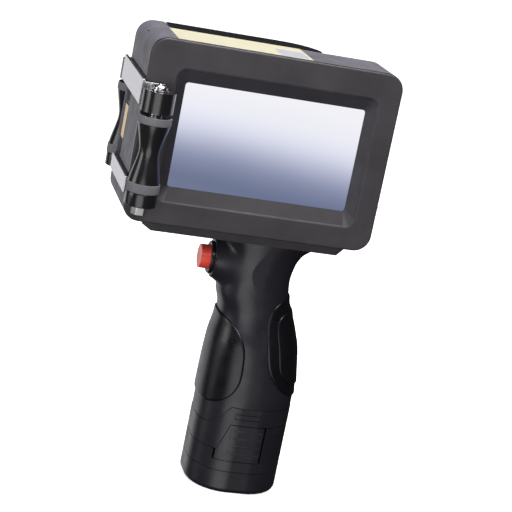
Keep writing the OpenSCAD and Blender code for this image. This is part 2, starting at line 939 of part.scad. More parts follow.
module bracket_studs() {
    color([0.7, 0.7, 0.72])
        in_head() {
            bracket_studs_at([strip_x + strip_t, -head_w / 2 + wall + 2], stud_r);
            bracket_studs_at([-head_w / 2 + wall, -head_w / 2 + wall + 2], stud_r + 1.4);
        }
}

module bracket_screws() {
    color([0.7, 0.7, 0.72])
        in_head()
            for (end = bracket_ends)
                translate([roller_x, end[0] - end[1] * strip_t, block_screw_z])
                    rotate([end[1] * 90, 0, 0])
                        screw(5.5, bracket_screw_r, 2.3, 1.4);
}

// the block that carries an axle; way is -1 in front of the head and 1 behind it
module roller_block(y, way) {
    flat = way < 0 ? strip_front : strip_back;
    color([0.06, 0.06, 0.065])
        in_head()
            difference() {
                rod_z(roller_x, y, block_z, block_r);
                block([-far, min(flat, flat - way * far), 0], [far, max(flat, flat - way * far), far]);
                rod_z(roller_x, y, [0, far], axle_r);
                bracket_screw_holes(bracket_screw_r);
            }
}

module front_roller_block() {
    roller_block(front_roller_y, -1);
}

module rear_roller_block() {
    roller_block(rear_roller_y, 1);
}

module at_axles() {
    in_head()
        for (y = [front_roller_y, rear_roller_y])
            translate([roller_x, y, 0])
                children();
}

module washer(z, r) {
    difference() {
        rod_z(0, 0, z, r);
        rod_z(0, 0, [0, far], axle_r);
    }
}

module axle_bolts() {
    color([0.75, 0.75, 0.77])
        at_axles()
            translate([0, 0, block_z[1] + 0.6])
                screw(block_z[1] + 0.6 - nut_z[0] + 0.4, axle_r, 3.6, 2.6);
}

module axle_nuts() {
    color([0.75, 0.75, 0.77])
        at_axles()
            difference() {
                translate([0, 0, nut_z[0]])
                    linear_extrude(nut_z[1] - nut_z[0])
                        circle(4.04, $fn = 6);
                rod_z(0, 0, [0, far], axle_r);
            }
}

module axle_washers() {
    color([0.7, 0.7, 0.72])
        at_axles() {
            washer([block_z[1], block_z[1] + 0.6], 4.3);
            washer([roller_z[1] + 0.2, block_z[0]], 3.2);
            washer([nut_z[1], roller_z[0] - 0.2], 3.2);
        }
}

module roller(y) {
    body_r = tyre_r - 0.35;
    groove_r = tyre_r - 1.75;
    color([0.05, 0.05, 0.055])
        in_head()
            translate([roller_x, y, 0])
                rotate_extrude()
                    polygon([
                        [bearing_r, roller_z[0]], [body_r, roller_z[0]], [body_r, lower_tyre_z[0]],
                        [groove_r, lower_tyre_z[0]], [groove_r, lower_tyre_z[1]],
                        [body_r, lower_tyre_z[1]], [waist_r, waist_z[0]], [waist_r, waist_z[1]],
                        [body_r, upper_tyre_z[0]], [groove_r, upper_tyre_z[0]],
                        [groove_r, upper_tyre_z[1]], [body_r, upper_tyre_z[1]],
                        [body_r, roller_z[1]], [bearing_r, roller_z[1]],
                        [bearing_r, roller_z[1] - bearing_t], [axle_r + 0.5, roller_z[1] - bearing_t],
                        [axle_r + 0.5, roller_z[0] + bearing_t], [bearing_r, roller_z[0] + bearing_t]
                    ]);
}

module roller_tyres(y) {
    color([0.2, 0.2, 0.21])
        in_head()
            for (z = [lower_tyre_z, upper_tyre_z])
                difference() {
                    rod_z(roller_x, y, z, tyre_r);
                    rod_z(roller_x, y, [0, far], tyre_r - 1.75);
                }
}

module roller_bearings(y) {
    color([0.7, 0.7, 0.72])
        in_head()
            for (z = [roller_z[0], roller_z[1] - bearing_t])
                difference() {
                    rod_z(roller_x, y, [z, z + bearing_t], bearing_r);
                    rod_z(roller_x, y, [0, far], axle_r + run);
                }
}

module front_roller() {
    roller(front_roller_y);
}

module front_roller_tyres() {
    roller_tyres(front_roller_y);
}

module front_roller_bearings() {
    roller_bearings(front_roller_y);
}

module rear_roller() {
    roller(rear_roller_y);
}

module rear_roller_tyres() {
    roller_tyres(rear_roller_y);
}

module rear_roller_bearings() {
    roller_bearings(rear_roller_y);
}

// ---- battery pack ----

// the two release tabs sit in the front and the back of the pack; grow widens the outline
module tab_outline(grow) {
    top = tab_z[1];
    step = pack_top[0][1] - hair;
    polygon([
        [tab_left - grow, tab_z[0] - grow], [tab_right + grow, tab_z[0] - grow],
        [tab_right + grow, top + grow], [pack_top[1][0] + 0.2 - grow, top + grow],
        [pack_top[0][0] + 0.1 - grow, step], [tab_left - grow, step]
    ]);
}

// way is -1 for the front tab and 1 for the rear one
module release_tab(way) {
    ribs = 4;
    rib_z = [tab_z[0] + 4.5, tab_z[1] - 3];
    difference() {
        intersection() {
            pack_ring([tab_z[0] - 1, tab_z[1] + 1], 0, tab_t);
            along_y([min(0, way * far), max(0, way * far)])
                tab_outline(0);
        }
        for (i = [0 : ribs - 1])
            let (z = rib_z[0] + (rib_z[1] - rib_z[0]) * i / (ribs - 1))
                block([tab_left + 3.5, min(way * (pack_w / 2 - 0.5), way * far), z - 0.4],
                      [tab_right - 1, max(way * (pack_w / 2 - 0.5), way * far), z + 0.4]);
    }
}

module front_release_tab() {
    color([0.13, 0.13, 0.145])
        release_tab(-1);
}

module rear_release_tab() {
    color([0.13, 0.13, 0.145])
        release_tab(1);
}

module base_screws_at(z, r) {
    for (a = [45 : 90 : 315])
        rotate([0, 0, a])
            rod_z(base_screw_at, 0, z, r);
}

module battery_shell() {
    color([0.13, 0.13, 0.145])
        difference() {
            union() {
                intersection() {
                    pack_ring([floor_z[0], pack_top[1][1]], 0, wall - 0.3);
                    along_y([-far, far])
                        polygon([
                            [-far, 0], [far, 0], [far, pack_top[1][1] - hair],
                            [pack_top[1][0], pack_top[1][1] - hair],
                            [pack_top[0][0], pack_top[0][1] - hair], [-far, pack_top[0][1] - hair]
                        ]);
                }
                pack_ring(floor_z, wall - 1, stem_in);
                pack_slab([floor_z[0], stem_top], stem_out);
            }
            pack_slab([0, stem_top - 1.5], stem_in);
            for (way = [-1, 1])
                along_y([min(way * 17 * pack_s, way * far), max(way * 17 * pack_s, way * far)])
                    difference() {
                        tab_outline(1);
                        translate([0, tab_z[0] - 2])
                            square([far, 2 * 1.7], center = true);
                    }
            base_screws_at([0, floor_z[1] - 1], base_screw_r);
        }
}

// half of a prism's outline with its bottom edge rounded
module foot_profile(w, h, fillet) {
    square([w - fillet, h]);
    translate([0, fillet])
        square([w, h - fillet]);
    translate([w - fillet, fillet])
        circle(fillet);
}

module rounded_foot(h, fillet) {
    inner = pack_w - 2 * pack_r;
    for (a = [0, 90])
        rotate([90, 0, a])
            linear_extrude(inner, center = true)
                for (side = [0, 1])
                    mirror([side, 0])
                        foot_profile(pack_w / 2, h, fillet);
    for (sx = [-1, 1], sy = [-1, 1])
        translate([sx * inner / 2, sy * inner / 2, 0])
            rotate_extrude()
                foot_profile(pack_r, h, fillet);
}

module battery_base_cap() {
    color([0.12, 0.12, 0.135])
        difference() {
            rounded_foot(base_cap_h, 3.2);
            difference() {
                pack_slab([wall, far], wall);
                base_screws_at([0, far], 3);
            }
            base_screws_at([-eps, wall], 2.7);
            base_screws_at([0, far], base_screw_r);
        }
}

module base_screws() {
    color([0.3, 0.3, 0.32]) {
        base_screws_at([wall - eps, floor_z[1] - 2], base_screw_r);
        base_screws_at([0.6, wall], 2.4);
    }
}

module battery_cells() {
    color([0.2, 0.35, 0.6])
        for (a = [90 : 120 : 330])
            rotate([0, 0, a])
                rod_z(2 * cell_r / sqrt(3) + 0.04, 0, cell_z, cell_r);
}

module battery_terminals() {
    color([0.8, 0.65, 0.3])
        for (x = [-8, 0, 8])
            rod_z(x, 0, [stem_top, stem_top + 0.6], 2.5);
}

front_cover();
screen_glass();
display_module();
mid_casing();
rear_housing();
cartridge_cover();
cover_hinge_pin();
cartridge_cradle();
contact_block();
ink_cartridge();
nozzle_plate();
main_board();
board_spacers();
usb_port();
top_label();
label_patch();
casing_screws();
mount_plate();
neck_screws();
grip_front_shell();
grip_rear_shell();
grip_screws();
left_grip_pad();
right_grip_pad();
right_palm_pad();
battery_collar();
contact_carrier();
carrier_pins();
trigger_button();
trigger_bezel();
trigger_spring();
trigger_switch();
power_rocker();
power_housing();
power_terminals();
upper_bracket();
lower_bracket();
bracket_pads();
bracket_studs();
bracket_screws();
front_roller_block();
rear_roller_block();
axle_bolts();
axle_nuts();
axle_washers();
front_roller();
front_roller_tyres();
front_roller_bearings();
rear_roller();
rear_roller_tyres();
rear_roller_bearings();
battery_shell();
battery_base_cap();
battery_cells();
battery_terminals();
base_screws();
front_release_tab();
rear_release_tab();
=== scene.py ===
"""Looks of the handheld marking printer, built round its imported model.

Sizes are in millimetres until a shape becomes a mesh, and then in metres. The head's own frame has
x from the middle of its width, y from the screen face to the back, and z up from its underside.
The grip and the battery pack use the part's frame, whose origin is the middle of the pack's base.
"""

import json
import logging
import math
from collections.abc import Callable, Sequence
from dataclasses import dataclass, field
from enum import Enum

import bmesh
import bpy
from mathutils import Matrix, Quaternion, Vector

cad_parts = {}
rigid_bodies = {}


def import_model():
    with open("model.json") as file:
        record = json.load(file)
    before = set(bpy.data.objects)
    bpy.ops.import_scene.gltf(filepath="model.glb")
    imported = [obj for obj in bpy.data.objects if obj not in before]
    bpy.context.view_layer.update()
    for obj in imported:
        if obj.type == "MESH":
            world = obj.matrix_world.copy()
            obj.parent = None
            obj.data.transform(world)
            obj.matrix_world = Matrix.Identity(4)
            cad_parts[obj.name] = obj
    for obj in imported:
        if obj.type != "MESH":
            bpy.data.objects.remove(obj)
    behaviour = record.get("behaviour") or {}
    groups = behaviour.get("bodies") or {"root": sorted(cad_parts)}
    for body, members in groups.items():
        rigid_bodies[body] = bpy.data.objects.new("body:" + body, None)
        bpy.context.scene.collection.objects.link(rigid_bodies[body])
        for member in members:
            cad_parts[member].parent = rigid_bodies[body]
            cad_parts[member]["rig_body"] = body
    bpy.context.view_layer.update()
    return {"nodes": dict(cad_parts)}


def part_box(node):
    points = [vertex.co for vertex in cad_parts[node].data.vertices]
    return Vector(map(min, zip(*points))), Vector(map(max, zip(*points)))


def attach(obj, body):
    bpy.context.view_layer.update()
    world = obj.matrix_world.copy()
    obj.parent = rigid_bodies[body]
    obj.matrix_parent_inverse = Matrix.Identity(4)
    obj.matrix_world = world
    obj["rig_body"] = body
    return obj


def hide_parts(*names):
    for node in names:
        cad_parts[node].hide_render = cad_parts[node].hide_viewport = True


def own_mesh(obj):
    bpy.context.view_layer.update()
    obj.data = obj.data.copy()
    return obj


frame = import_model()

MM = 0.001
SHARP_DEG = 32.0
LOG = logging.getLogger("marking_printer")

Colour = tuple[float, float, float]
Ring = list[Vector]


class Axis(Enum):
    """Directions that a turned or bored shape can run along, as (axis letter, sign)."""

    RIGHT = Vector((1, 0, 0))
    LEFT = Vector((-1, 0, 0))
    BACK = Vector((0, 1, 0))
    FRONT = Vector((0, -1, 0))
    UP = Vector((0, 0, 1))
    DOWN = Vector((0, 0, -1))

    def turn(self) -> Quaternion:
        """The turn that takes +Z to this direction."""
        return Vector((0, 0, 1)).rotation_difference(self.value)


# ---- trees ----


class NodeTree:
    """Adds and joins the nodes of one shader or geometry tree."""

    def __init__(self, tree: bpy.types.NodeTree) -> None:
        """Args:
        tree: the tree to fill.
        """
        self.tree = tree

    def add(self, kind: str, **settings: object) -> bpy.types.Node:
        """Add a node.

        Args:
            kind: Blender's name for the node type.
            **settings: properties of the node.

        Returns:
            The new node.
        """
        node = self.tree.nodes.new(kind)
        for key, value in settings.items():
            setattr(node, key, value)
        return node

    def join(self, source: bpy.types.NodeSocket, target: bpy.types.NodeSocket) -> None:
        """Link an output socket to an input socket."""
        self.tree.links.new(source, target)

    def noise(self, where: bpy.types.NodeSocket, scale: float, detail: float) -> bpy.types.NodeSocket:
        """Add a noise texture.

        Args:
            where: the coordinates it reads.
            scale: features per metre.
            detail: octaves.

        Returns:
            Its factor output.
        """
        node = self.add("ShaderNodeTexNoise")
        node.inputs["Scale"].default_value = scale
        node.inputs["Detail"].default_value = detail
        self.join(where, node.inputs["Vector"])
        return node.outputs["Fac"]

    def remap(
        self, value: bpy.types.NodeSocket, low: float, high: float, start: float = 0.3, end: float = 0.7
    ) -> bpy.types.NodeSocket:
        """Stretch a value from start..end to low..high, and return the result."""
        node = self.add("ShaderNodeMapRange")
        node.inputs["From Min"].default_value = start
        node.inputs["From Max"].default_value = end
        node.inputs["To Min"].default_value = low
        node.inputs["To Max"].default_value = high
        self.join(value, node.inputs["Value"])
        return node.outputs["Result"]

    def blend(
        self, share: bpy.types.NodeSocket, first: Colour | bpy.types.NodeSocket, second: Colour
    ) -> bpy.types.NodeSocket:
        """Mix two colours by a share, and return the result."""
        node = self.add("ShaderNodeMix", data_type="RGBA")
        self.join(share, node.inputs[0])
        if isinstance(first, bpy.types.NodeSocket):
            self.join(first, node.inputs[6])
        else:
            node.inputs[6].default_value = (*first, 1)
        node.inputs[7].default_value = (*second, 1)
        return node.outputs[2]


class GeometryTree(NodeTree):
    """A geometry tree with named inputs, made into a plain mesh by apply()."""

    def __init__(self, name: str) -> None:
        """Args:
        name: the tree's name.
        """
        super().__init__(bpy.data.node_groups.new(name, "GeometryNodeTree"))
        for way in ("INPUT", "OUTPUT"):
            self.tree.interface.new_socket("Geometry", in_out=way, socket_type="NodeSocketGeometry")
        self.source = self.add("NodeGroupInput")
        self.result = self.add("NodeGroupOutput")

    def named(self, name: str, kind: str = "Float") -> bpy.types.NodeSocket:
        """Add a named input of a kind such as Float, Int, Object or Material, and return its socket."""
        self.tree.interface.new_socket(name, in_out="INPUT", socket_type=f"NodeSocket{kind}")
        return self.source.outputs[name]

    def close(self, geometry: bpy.types.NodeSocket, material: bpy.types.NodeSocket) -> None:
        """End the tree in Realize Instances and Set Material."""
        realize = self.add("GeometryNodeRealizeInstances")
        dress = self.add("GeometryNodeSetMaterial")
        self.join(geometry, realize.inputs[0])
        self.join(realize.outputs[0], dress.inputs["Geometry"])
        self.join(material, dress.inputs["Material"])
        self.join(dress.outputs[0], self.result.inputs[0])

    def apply(self, obj: bpy.types.Object, values: dict[str, object]) -> bpy.types.Object:
        """Run the tree on an object and keep the outcome as its plain mesh.

        Args:
            obj: the object whose mesh feeds the tree.
            values: input name to value.

        Returns:
            The same object, without the modifier.
        """
        modifier = obj.modifiers.new("made", "NODES")
        modifier.node_group = self.tree
        for item in self.tree.interface.items_tree:
            if item.in_out == "INPUT" and item.name in values:
                modifier[item.identifier] = values[item.name]
        return settle(obj)


# ---- finishes ----


def from_screen(red: int, green: int, blue: int) -> Colour:
    """A colour given in 0-255 screen values, as linear light."""
    return tuple(
        ((v / 255 + 0.055) / 1.055) ** 2.4 if v > 10 else v / 255 / 12.92 for v in (red, green, blue)
    )


@dataclass(frozen=True)
class Finish:
    """A surface with slow colour drift, fine grain in its height and roughness, and worn edges."""

    name: str
    colour: Colour
    roughness: float
    metallic: float = 0.0
    specular: float = 0.5
    coat: float = 0.0
    grain_mm: float = 0.35
    grain_depth_mm: float = 0.012
    drift: float = 0.12
    wear: float = 0.0
    wear_mm: float = 0.35
    drawn: Colour = (1.0, 1.0, 1.0)

    def material(self) -> bpy.types.Material:
        """The finish's material, made once."""
        name = f"{self.name}_finish"
        known = bpy.data.materials.get(name)
        if known:
            return known
        made = bpy.data.materials.new(name)
        made.use_nodes = True
        tree = NodeTree(made.node_tree)
        shader = made.node_tree.nodes["Principled BSDF"]
        shader.inputs["Metallic"].default_value = self.metallic
        shader.inputs["Specular IOR Level"].default_value = self.specular
        shader.inputs["Coat Weight"].default_value = self.coat
        shader.inputs["Coat Roughness"].default_value = 0.08
        where = self.coordinates(tree)
        self.paint(tree, shader, where)
        self.roughen(tree, shader, where)
        return made

    def coordinates(self, tree: NodeTree) -> bpy.types.NodeSocket:
        """Object coordinates, drawn out along the brushing if there is any."""
        place = tree.add("ShaderNodeTexCoord")
        stretch = tree.add("ShaderNodeMapping")
        stretch.inputs["Scale"].default_value = self.drawn
        tree.join(place.outputs["Object"], stretch.inputs["Vector"])
        return stretch.outputs["Vector"]

    def paint(self, tree: NodeTree, shader: bpy.types.Node, where: bpy.types.NodeSocket) -> None:
        """Colour with slow drift, lighter where edges are worn.

        Args:
            tree: the material's tree.
            shader: its principled shader.
            where: the coordinates of the pattern.
        """
        share = tree.remap(tree.noise(where, 55.0, 4.0), 0.0, 1.0)
        dark = tuple(c * (1 - self.drift) for c in self.colour)
        light = tuple(min(1.0, c * (1 + self.drift)) for c in self.colour)
        colour = tree.blend(share, dark, light)
        if self.wear:
            worn = tuple(min(1.0, c * 1.9 + 0.02) for c in self.colour)
            colour = tree.blend(self.edges(tree, where), colour, worn)
        tree.join(colour, shader.inputs["Base Color"])

    def edges(self, tree: NodeTree, where: bpy.types.NodeSocket) -> bpy.types.NodeSocket:
        """How much an edge is worn: the turn between the real and the rounded normal, broken up by noise."""
        rounded = tree.add("ShaderNodeBevel", samples=4)
        rounded.inputs["Radius"].default_value = self.wear_mm * MM
        flat = tree.add("ShaderNodeNewGeometry")
        dot = tree.add("ShaderNodeVectorMath", operation="DOT_PRODUCT")
        tree.join(rounded.outputs["Normal"], dot.inputs[0])
        tree.join(flat.outputs["Normal"], dot.inputs[1])
        turned = tree.remap(dot.outputs["Value"], 1.0, 0.0, 0.86, 0.995)
        broken = tree.remap(tree.noise(where, 420.0, 3.0), 0.0, self.wear, 0.35, 0.75)
        both = tree.add("ShaderNodeMath", operation="MULTIPLY")
        tree.join(turned, both.inputs[0])
        tree.join(broken, both.inputs[1])
        return both.outputs[0]

    def roughen(self, tree: NodeTree, shader: bpy.types.Node, where: bpy.types.NodeSocket) -> None:
        """Roughness that drifts a little, and the grain as bump.

        Args:
            tree: the material's tree.
            shader: its principled shader.
            where: the coordinates of the pattern.
        """
        smudge = tree.remap(
            tree.noise(where, 140.0, 5.0), max(0.02, self.roughness * 0.85), min(1.0, self.roughness * 1.18)
        )
        tree.join(smudge, shader.inputs["Roughness"])
        grain = tree.noise(where, 1 / (self.grain_mm * MM), 2.0)
        bump = tree.add("ShaderNodeBump")
        bump.inputs["Strength"].default_value = 0.6
        bump.inputs["Distance"].default_value = self.grain_depth_mm * MM
        tree.join(grain, bump.inputs["Height"])
        tree.join(bump.outputs["Normal"], shader.inputs["Normal"])


@dataclass(frozen=True)
class ScreenFinish(Finish):
    """The touch panel with the display idling behind it: a pale glow that deepens to blue below."""

    bottom: float = 0.0
    top: float = 1.0
    glow: tuple[tuple[float, Colour], ...] = ()

    def paint(self, tree: NodeTree, shader: bpy.types.Node, where: bpy.types.NodeSocket) -> None:
        """Glow from the bottom of the glass to its top, with its bands a little out of level.

        Args:
            tree: the material's tree.
            shader: its principled shader.
            where: the coordinates of the pattern.
        """
        shader.inputs["Base Color"].default_value = (*self.colour, 1)
        apart = tree.add("ShaderNodeSeparateXYZ")
        tree.join(where, apart.inputs[0])
        tilt = tree.add("ShaderNodeMath", operation="MULTIPLY_ADD")
        tree.join(apart.outputs["X"], tilt.inputs[0])
        tilt.inputs[1].default_value = 0.10
        tree.join(apart.outputs["Z"], tilt.inputs[2])
        wander = tree.remap(tree.noise(where, 14.0, 2.0), -0.0012, 0.0012)
        height = tree.add("ShaderNodeMath", operation="ADD")
        tree.join(tilt.outputs[0], height.inputs[0])
        tree.join(wander, height.inputs[1])
        ramp = tree.add("ShaderNodeValToRGB")
        ramp.color_ramp.interpolation = "B_SPLINE"
        while len(ramp.color_ramp.elements) < len(self.glow):
            ramp.color_ramp.elements.new(0.5)
        for element, (place, colour) in zip(ramp.color_ramp.elements, self.glow):
            element.position = place
            element.color = (*colour, 1)
        tree.join(tree.remap(height.outputs[0], 0.0, 1.0, self.bottom, self.top), ramp.inputs[0])
        tree.join(ramp.outputs[0], shader.inputs["Emission Color"])
        shader.inputs["Emission Strength"].default_value = 0.93


@dataclass(frozen=True)
class PaperFinish(Finish):
    """Printed film: fibres in its colour and a faint ruled frame of blank lines."""

    ink: Colour = (0.5, 0.5, 0.5)
    lines_per_mm: float = 0.25

    def paint(self, tree: NodeTree, shader: bpy.types.Node, where: bpy.types.NodeSocket) -> None:
        """Fibres and blank ruled lines across the label.

        Args:
            tree: the material's tree.
            shader: its principled shader.
            where: the coordinates of the pattern.
        """
        share = tree.remap(tree.noise(where, 900.0, 5.0), 0.0, 1.0)
        paper = tree.blend(share, tuple(c * 0.95 for c in self.colour), self.colour)
        wave = tree.add("ShaderNodeTexWave", wave_type="BANDS", bands_direction="Y")
        wave.inputs["Scale"].default_value = self.lines_per_mm / MM / 10
        tree.join(where, wave.inputs["Vector"])
        line = tree.remap(wave.outputs["Fac"], 0.0, 0.22, 0.95, 1.0)
        tree.join(tree.blend(line, paper, self.ink), shader.inputs["Base Color"])


@dataclass(frozen=True)
class BoardFinish(Finish):
    """Solder mask with copper tracks running under it."""

    track: Colour = (0.05, 0.2, 0.08)

    def paint(self, tree: NodeTree, shader: bpy.types.Node, where: bpy.types.NodeSocket) -> None:
        """Mask colour with straight tracks at right angles.

        Args:
            tree: the material's tree.
            shader: its principled shader.
            where: the coordinates of the pattern.
        """
        cells = tree.add("ShaderNodeTexVoronoi", distance="MANHATTAN", feature="DISTANCE_TO_EDGE")
        cells.inputs["Scale"].default_value = 220.0
        cells.inputs["Randomness"].default_value = 0.7
        tree.join(where, cells.inputs["Vector"])
        line = tree.remap(cells.outputs["Distance"], 1.0, 0.0, 0.03, 0.06)
        tree.join(tree.blend(line, self.colour, self.track), shader.inputs["Base Color"])


DARK_MOULDING = Finish("dark_moulding", (0.043, 0.038, 0.044), 0.50, grain_mm=0.30, grain_depth_mm=0.02,
                       drift=0.2, wear=0.35)
RECESS_MOULDING = Finish("recess_moulding", (0.026, 0.025, 0.032), 0.50, grain_mm=0.25, grain_depth_mm=0.01)
GREY_MOULDING = Finish("grey_moulding", (0.118, 0.113, 0.134), 0.50, grain_mm=0.30, grain_depth_mm=0.02,
                       drift=0.15, wear=0.4)
GLOSS_BLACK = Finish("gloss_black", (0.012, 0.012, 0.013), 0.2, coat=0.5, grain_mm=2.2,
                     grain_depth_mm=0.004, wear=0.2, wear_mm=0.2)
GRIP_MOULDING = Finish("grip_moulding", (0.016, 0.0155, 0.020), 0.30, grain_mm=0.45, grain_depth_mm=0.008,
                       drift=0.15, wear=0.15)
GRIP_RUBBER = Finish("grip_rubber", (0.005, 0.005, 0.007), 0.28, grain_mm=0.28, grain_depth_mm=0.010,
                     drift=0.18, specular=0.5)
INNER_PLASTIC = Finish("inner_plastic", (0.09, 0.09, 0.095), 0.5, grain_depth_mm=0.015)
CARTRIDGE_PLASTIC = Finish("cartridge_plastic", (0.02, 0.02, 0.024), 0.35, grain_depth_mm=0.015)
RED_GLOSS = Finish("red_gloss", (0.95, 0.09, 0.06), 0.3, coat=0.25, grain_mm=1.2, grain_depth_mm=0.0015,
                   drift=0.06, wear=0.15, wear_mm=0.3)
BUTTON_RING = Finish("button_ring", (0.010, 0.010, 0.011), 0.30, grain_mm=0.4, grain_depth_mm=0.006)
STAINLESS = Finish("stainless", (0.80, 0.80, 0.82), 0.24, metallic=1.0, grain_mm=0.12,
                   grain_depth_mm=0.004, drift=0.04, drawn=(12.0, 0.35, 12.0))
BRIGHT_STEEL = Finish("bright_steel", (0.72, 0.71, 0.70), 0.20, metallic=1.0, grain_mm=0.5,
                      grain_depth_mm=0.001, drift=0.08)
BLACK_SCREW = Finish("black_screw", (0.05, 0.05, 0.055), 0.33, metallic=0.8, grain_mm=0.4)
GOLD = Finish("gold_contact", (0.85, 0.58, 0.22), 0.22, metallic=1.0, grain_mm=0.3, grain_depth_mm=0.003)
# Near-black foam under the stainless strips: painted shadow along the strips' upper edges, where they stand
# off the casing wall.
PAINTED_SHADOW_FOAM = Finish("foam_pad", (0.008, 0.008, 0.008), 0.85, grain_mm=0.5, grain_depth_mm=0.08)
TYRE = Finish("tyre_rubber", (0.14, 0.135, 0.147), 0.58, grain_mm=0.5, grain_depth_mm=0.05, drift=0.25,
              drawn=(1.0, 1.0, 0.25))
CELL_WRAP = Finish("cell_wrap", (0.03, 0.09, 0.32), 0.3, coat=0.4, grain_mm=1.5, drift=0.08)
DISPLAY_FRAME = Finish("display_frame", (0.5, 0.5, 0.52), 0.35, metallic=0.9, grain_depth_mm=0.006)
LABEL_PAPER = PaperFinish("label_paper", (0.57, 0.535, 0.39), 0.45, grain_mm=0.2,
                          grain_depth_mm=0.006, ink=(0.48, 0.45, 0.34))
LABEL_PANEL = PaperFinish("label_panel", (0.42, 0.42, 0.47), 0.4, grain_mm=0.2,
                          grain_depth_mm=0.005, ink=(0.36, 0.36, 0.42), lines_per_mm=0.4)
CIRCUIT_BOARD = BoardFinish("circuit_board", (0.008, 0.075, 0.03), 0.3, coat=0.3)

# height up the glass to the glow's colour there
IDLE_GLOW = (
    (0.00, from_screen(104, 114, 143)),
    (0.12, from_screen(118, 127, 157)),
    (0.27, from_screen(146, 153, 181)),
    (0.42, from_screen(196, 200, 222)),
    (0.56, from_screen(229, 231, 247)),
    (0.72, from_screen(244, 245, 253)),
    (1.00, from_screen(251, 250, 254)),
)


# ---- meshes ----


@dataclass
class Shape:
    """Points in millimetres and the faces between them, before they become a mesh."""

    points: list[Vector] = field(default_factory=list)
    faces: list[tuple[int, ...]] = field(default_factory=list)

    def add(self, other: "Shape") -> "Shape":
        """Take in another shape's points and faces, and return this one."""
        start = len(self.points)
        self.points += other.points
        self.faces += [tuple(start + i for i in face) for face in other.faces]
        return self

    def object(self, name: str, place: Callable[[Vector], Vector] | None = None) -> bpy.types.Object:
        """Make the mesh object, with its normals outwards and its sharp edges marked.

        Args:
            name: the object's name.
            place: takes a point in millimetres to the part's frame, still in millimetres.

        Returns:
            The new object, at the origin.
        """
        mesh = bpy.data.meshes.new(name)
        points = [place(p) for p in self.points] if place else self.points
        mesh.from_pydata([p * MM for p in points], [], self.faces)
        form = bmesh.new()
        form.from_mesh(mesh)
        bmesh.ops.remove_doubles(form, verts=form.verts, dist=1e-7)
        bmesh.ops.recalc_face_normals(form, faces=form.faces)
        form.to_mesh(mesh)
        form.free()
        obj = bpy.data.objects.new(name, mesh)
        bpy.context.scene.collection.objects.link(obj)
        mark_sharp(mesh)
        return obj


def mark_sharp(mesh: bpy.types.Mesh, angle_deg: float = SHARP_DEG) -> None:
    """Shade a mesh smooth, apart from edges that turn by more than an angle."""
    form = bmesh.new()
    form.from_mesh(mesh)
    for face in form.faces:
        face.smooth = True
    for edge in form.edges:
        edge.smooth = len(edge.link_faces) == 2 and edge.calc_face_angle(0.0) < math.radians(angle_deg)
    form.to_mesh(mesh)
    form.free()


def settle(obj: bpy.types.Object) -> bpy.types.Object:
    """Turn an object's modifiers into its plain mesh.

    Args:
        obj: the object.

    Returns:
        The same object, without modifiers.
    """
    graph = bpy.context.evaluated_depsgraph_get()
    mesh = bpy.data.meshes.new_from_object(obj.evaluated_get(graph), depsgraph=graph)
    obj.modifiers.clear()
    old = obj.data
    obj.data = mesh
    if not old.users:
        bpy.data.meshes.remove(old)
    mesh.name = obj.name
    return obj


def loft(rings: Sequence[Ring], wrap: bool = False, cap: bool = False) -> Shape:
    """Join closed rings of equal length with quads.

    Args:
        rings: the rings in order.
        wrap: whether the last ring joins the first.
        cap: whether each end is closed with one face.

    Returns:
        The shape.
    """
    count = len(rings[0])
    shape = Shape([p for ring in rings for p in ring])
    pairs = list(zip(range(len(rings)), range(1, len(rings))))
    if wrap:
        pairs.append((len(rings) - 1, 0))
    for low, high in pairs:
        for i in range(count):
            j = (i + 1) % count
            shape.faces.append((low * count + i, low * count + j, high * count + j, high * count + i))
    if cap:
        shape.faces.append(tuple(range(count)))
        shape.faces.append(tuple((len(rings) - 1) * count + i for i in range(count)))
    return shape


def rounded_rectangle(
    middle: tuple[float, float], half: tuple[float, float], radius: float, y: float, steps: int = 10
) -> Ring:
    """A ring in the plane of X and Z.

    Args:
        middle: x and z of its middle.
        half: half its width and half its height.
        radius: of its corners.
        y: where the plane lies.
        steps: points round a quarter turn.

    Returns:
        The ring's points.
    """
    ring = []
    for quarter, (sx, sz) in enumerate(((1, 1), (-1, 1), (-1, -1), (1, -1))):
        for i in range(steps + 1):
            angle = math.radians(90 * (quarter + i / steps))
            ring.append(
                Vector(
                    (
                        middle[0] + sx * (half[0] - radius) + radius * math.cos(angle),
                        y,
                        middle[1] + sz * (half[1] - radius) + radius * math.sin(angle),
                    )
                )
            )
    return ring


def turned(profile: Sequence[tuple[float, float]], sides: int = 64, closed: bool = False) -> Shape:
    """A shape turned on a lathe round the Z axis.

    Args:
        profile: radius and height of each point, in order.
        sides: facets round the axis.
        closed: whether the last point joins the first, for a ring; otherwise the ends lie on the axis.

    Returns:
        The shape.
    """
    rings = [
        [
            Vector((r * math.cos(2 * math.pi * i / sides), r * math.sin(2 * math.pi * i / sides), z))
            for i in range(sides)
        ]
        for r, z in profile
    ]
    return loft(rings, wrap=closed)


def rounded_profile(
    corners: Sequence[tuple[float, float]], radius: float, closed: bool = True, steps: int = 4
) -> list[tuple[float, float]]:
    """Round the corners of a profile.

    Args:
        corners: radius and height of each corner, in order.
        radius: of the rounding, made smaller where an edge is short.
        closed: whether the last corner joins the first; open ends stay sharp.
        steps: points on each rounding.

    Returns:
        The profile with its corners rounded.
    """
    points = [Vector(c) for c in corners]
    count = len(points)
    rounded: list[tuple[float, float]] = []
    for i, corner in enumerate(points):
        if not closed and i in (0, count - 1):
            rounded.append(tuple(corner))
            continue
        before, after = points[i - 1] - corner, points[(i + 1) % count] - corner
        reach = min(radius, before.length * 0.45, after.length * 0.45)
        start, end = corner + before.normalized() * reach, corner + after.normalized() * reach
        for k in range(steps + 1):
            t = k / steps
            bend = start * (1 - t) ** 2 + corner * (2 * t * (1 - t)) + end * t**2
            rounded.append(tuple(bend))
    return rounded


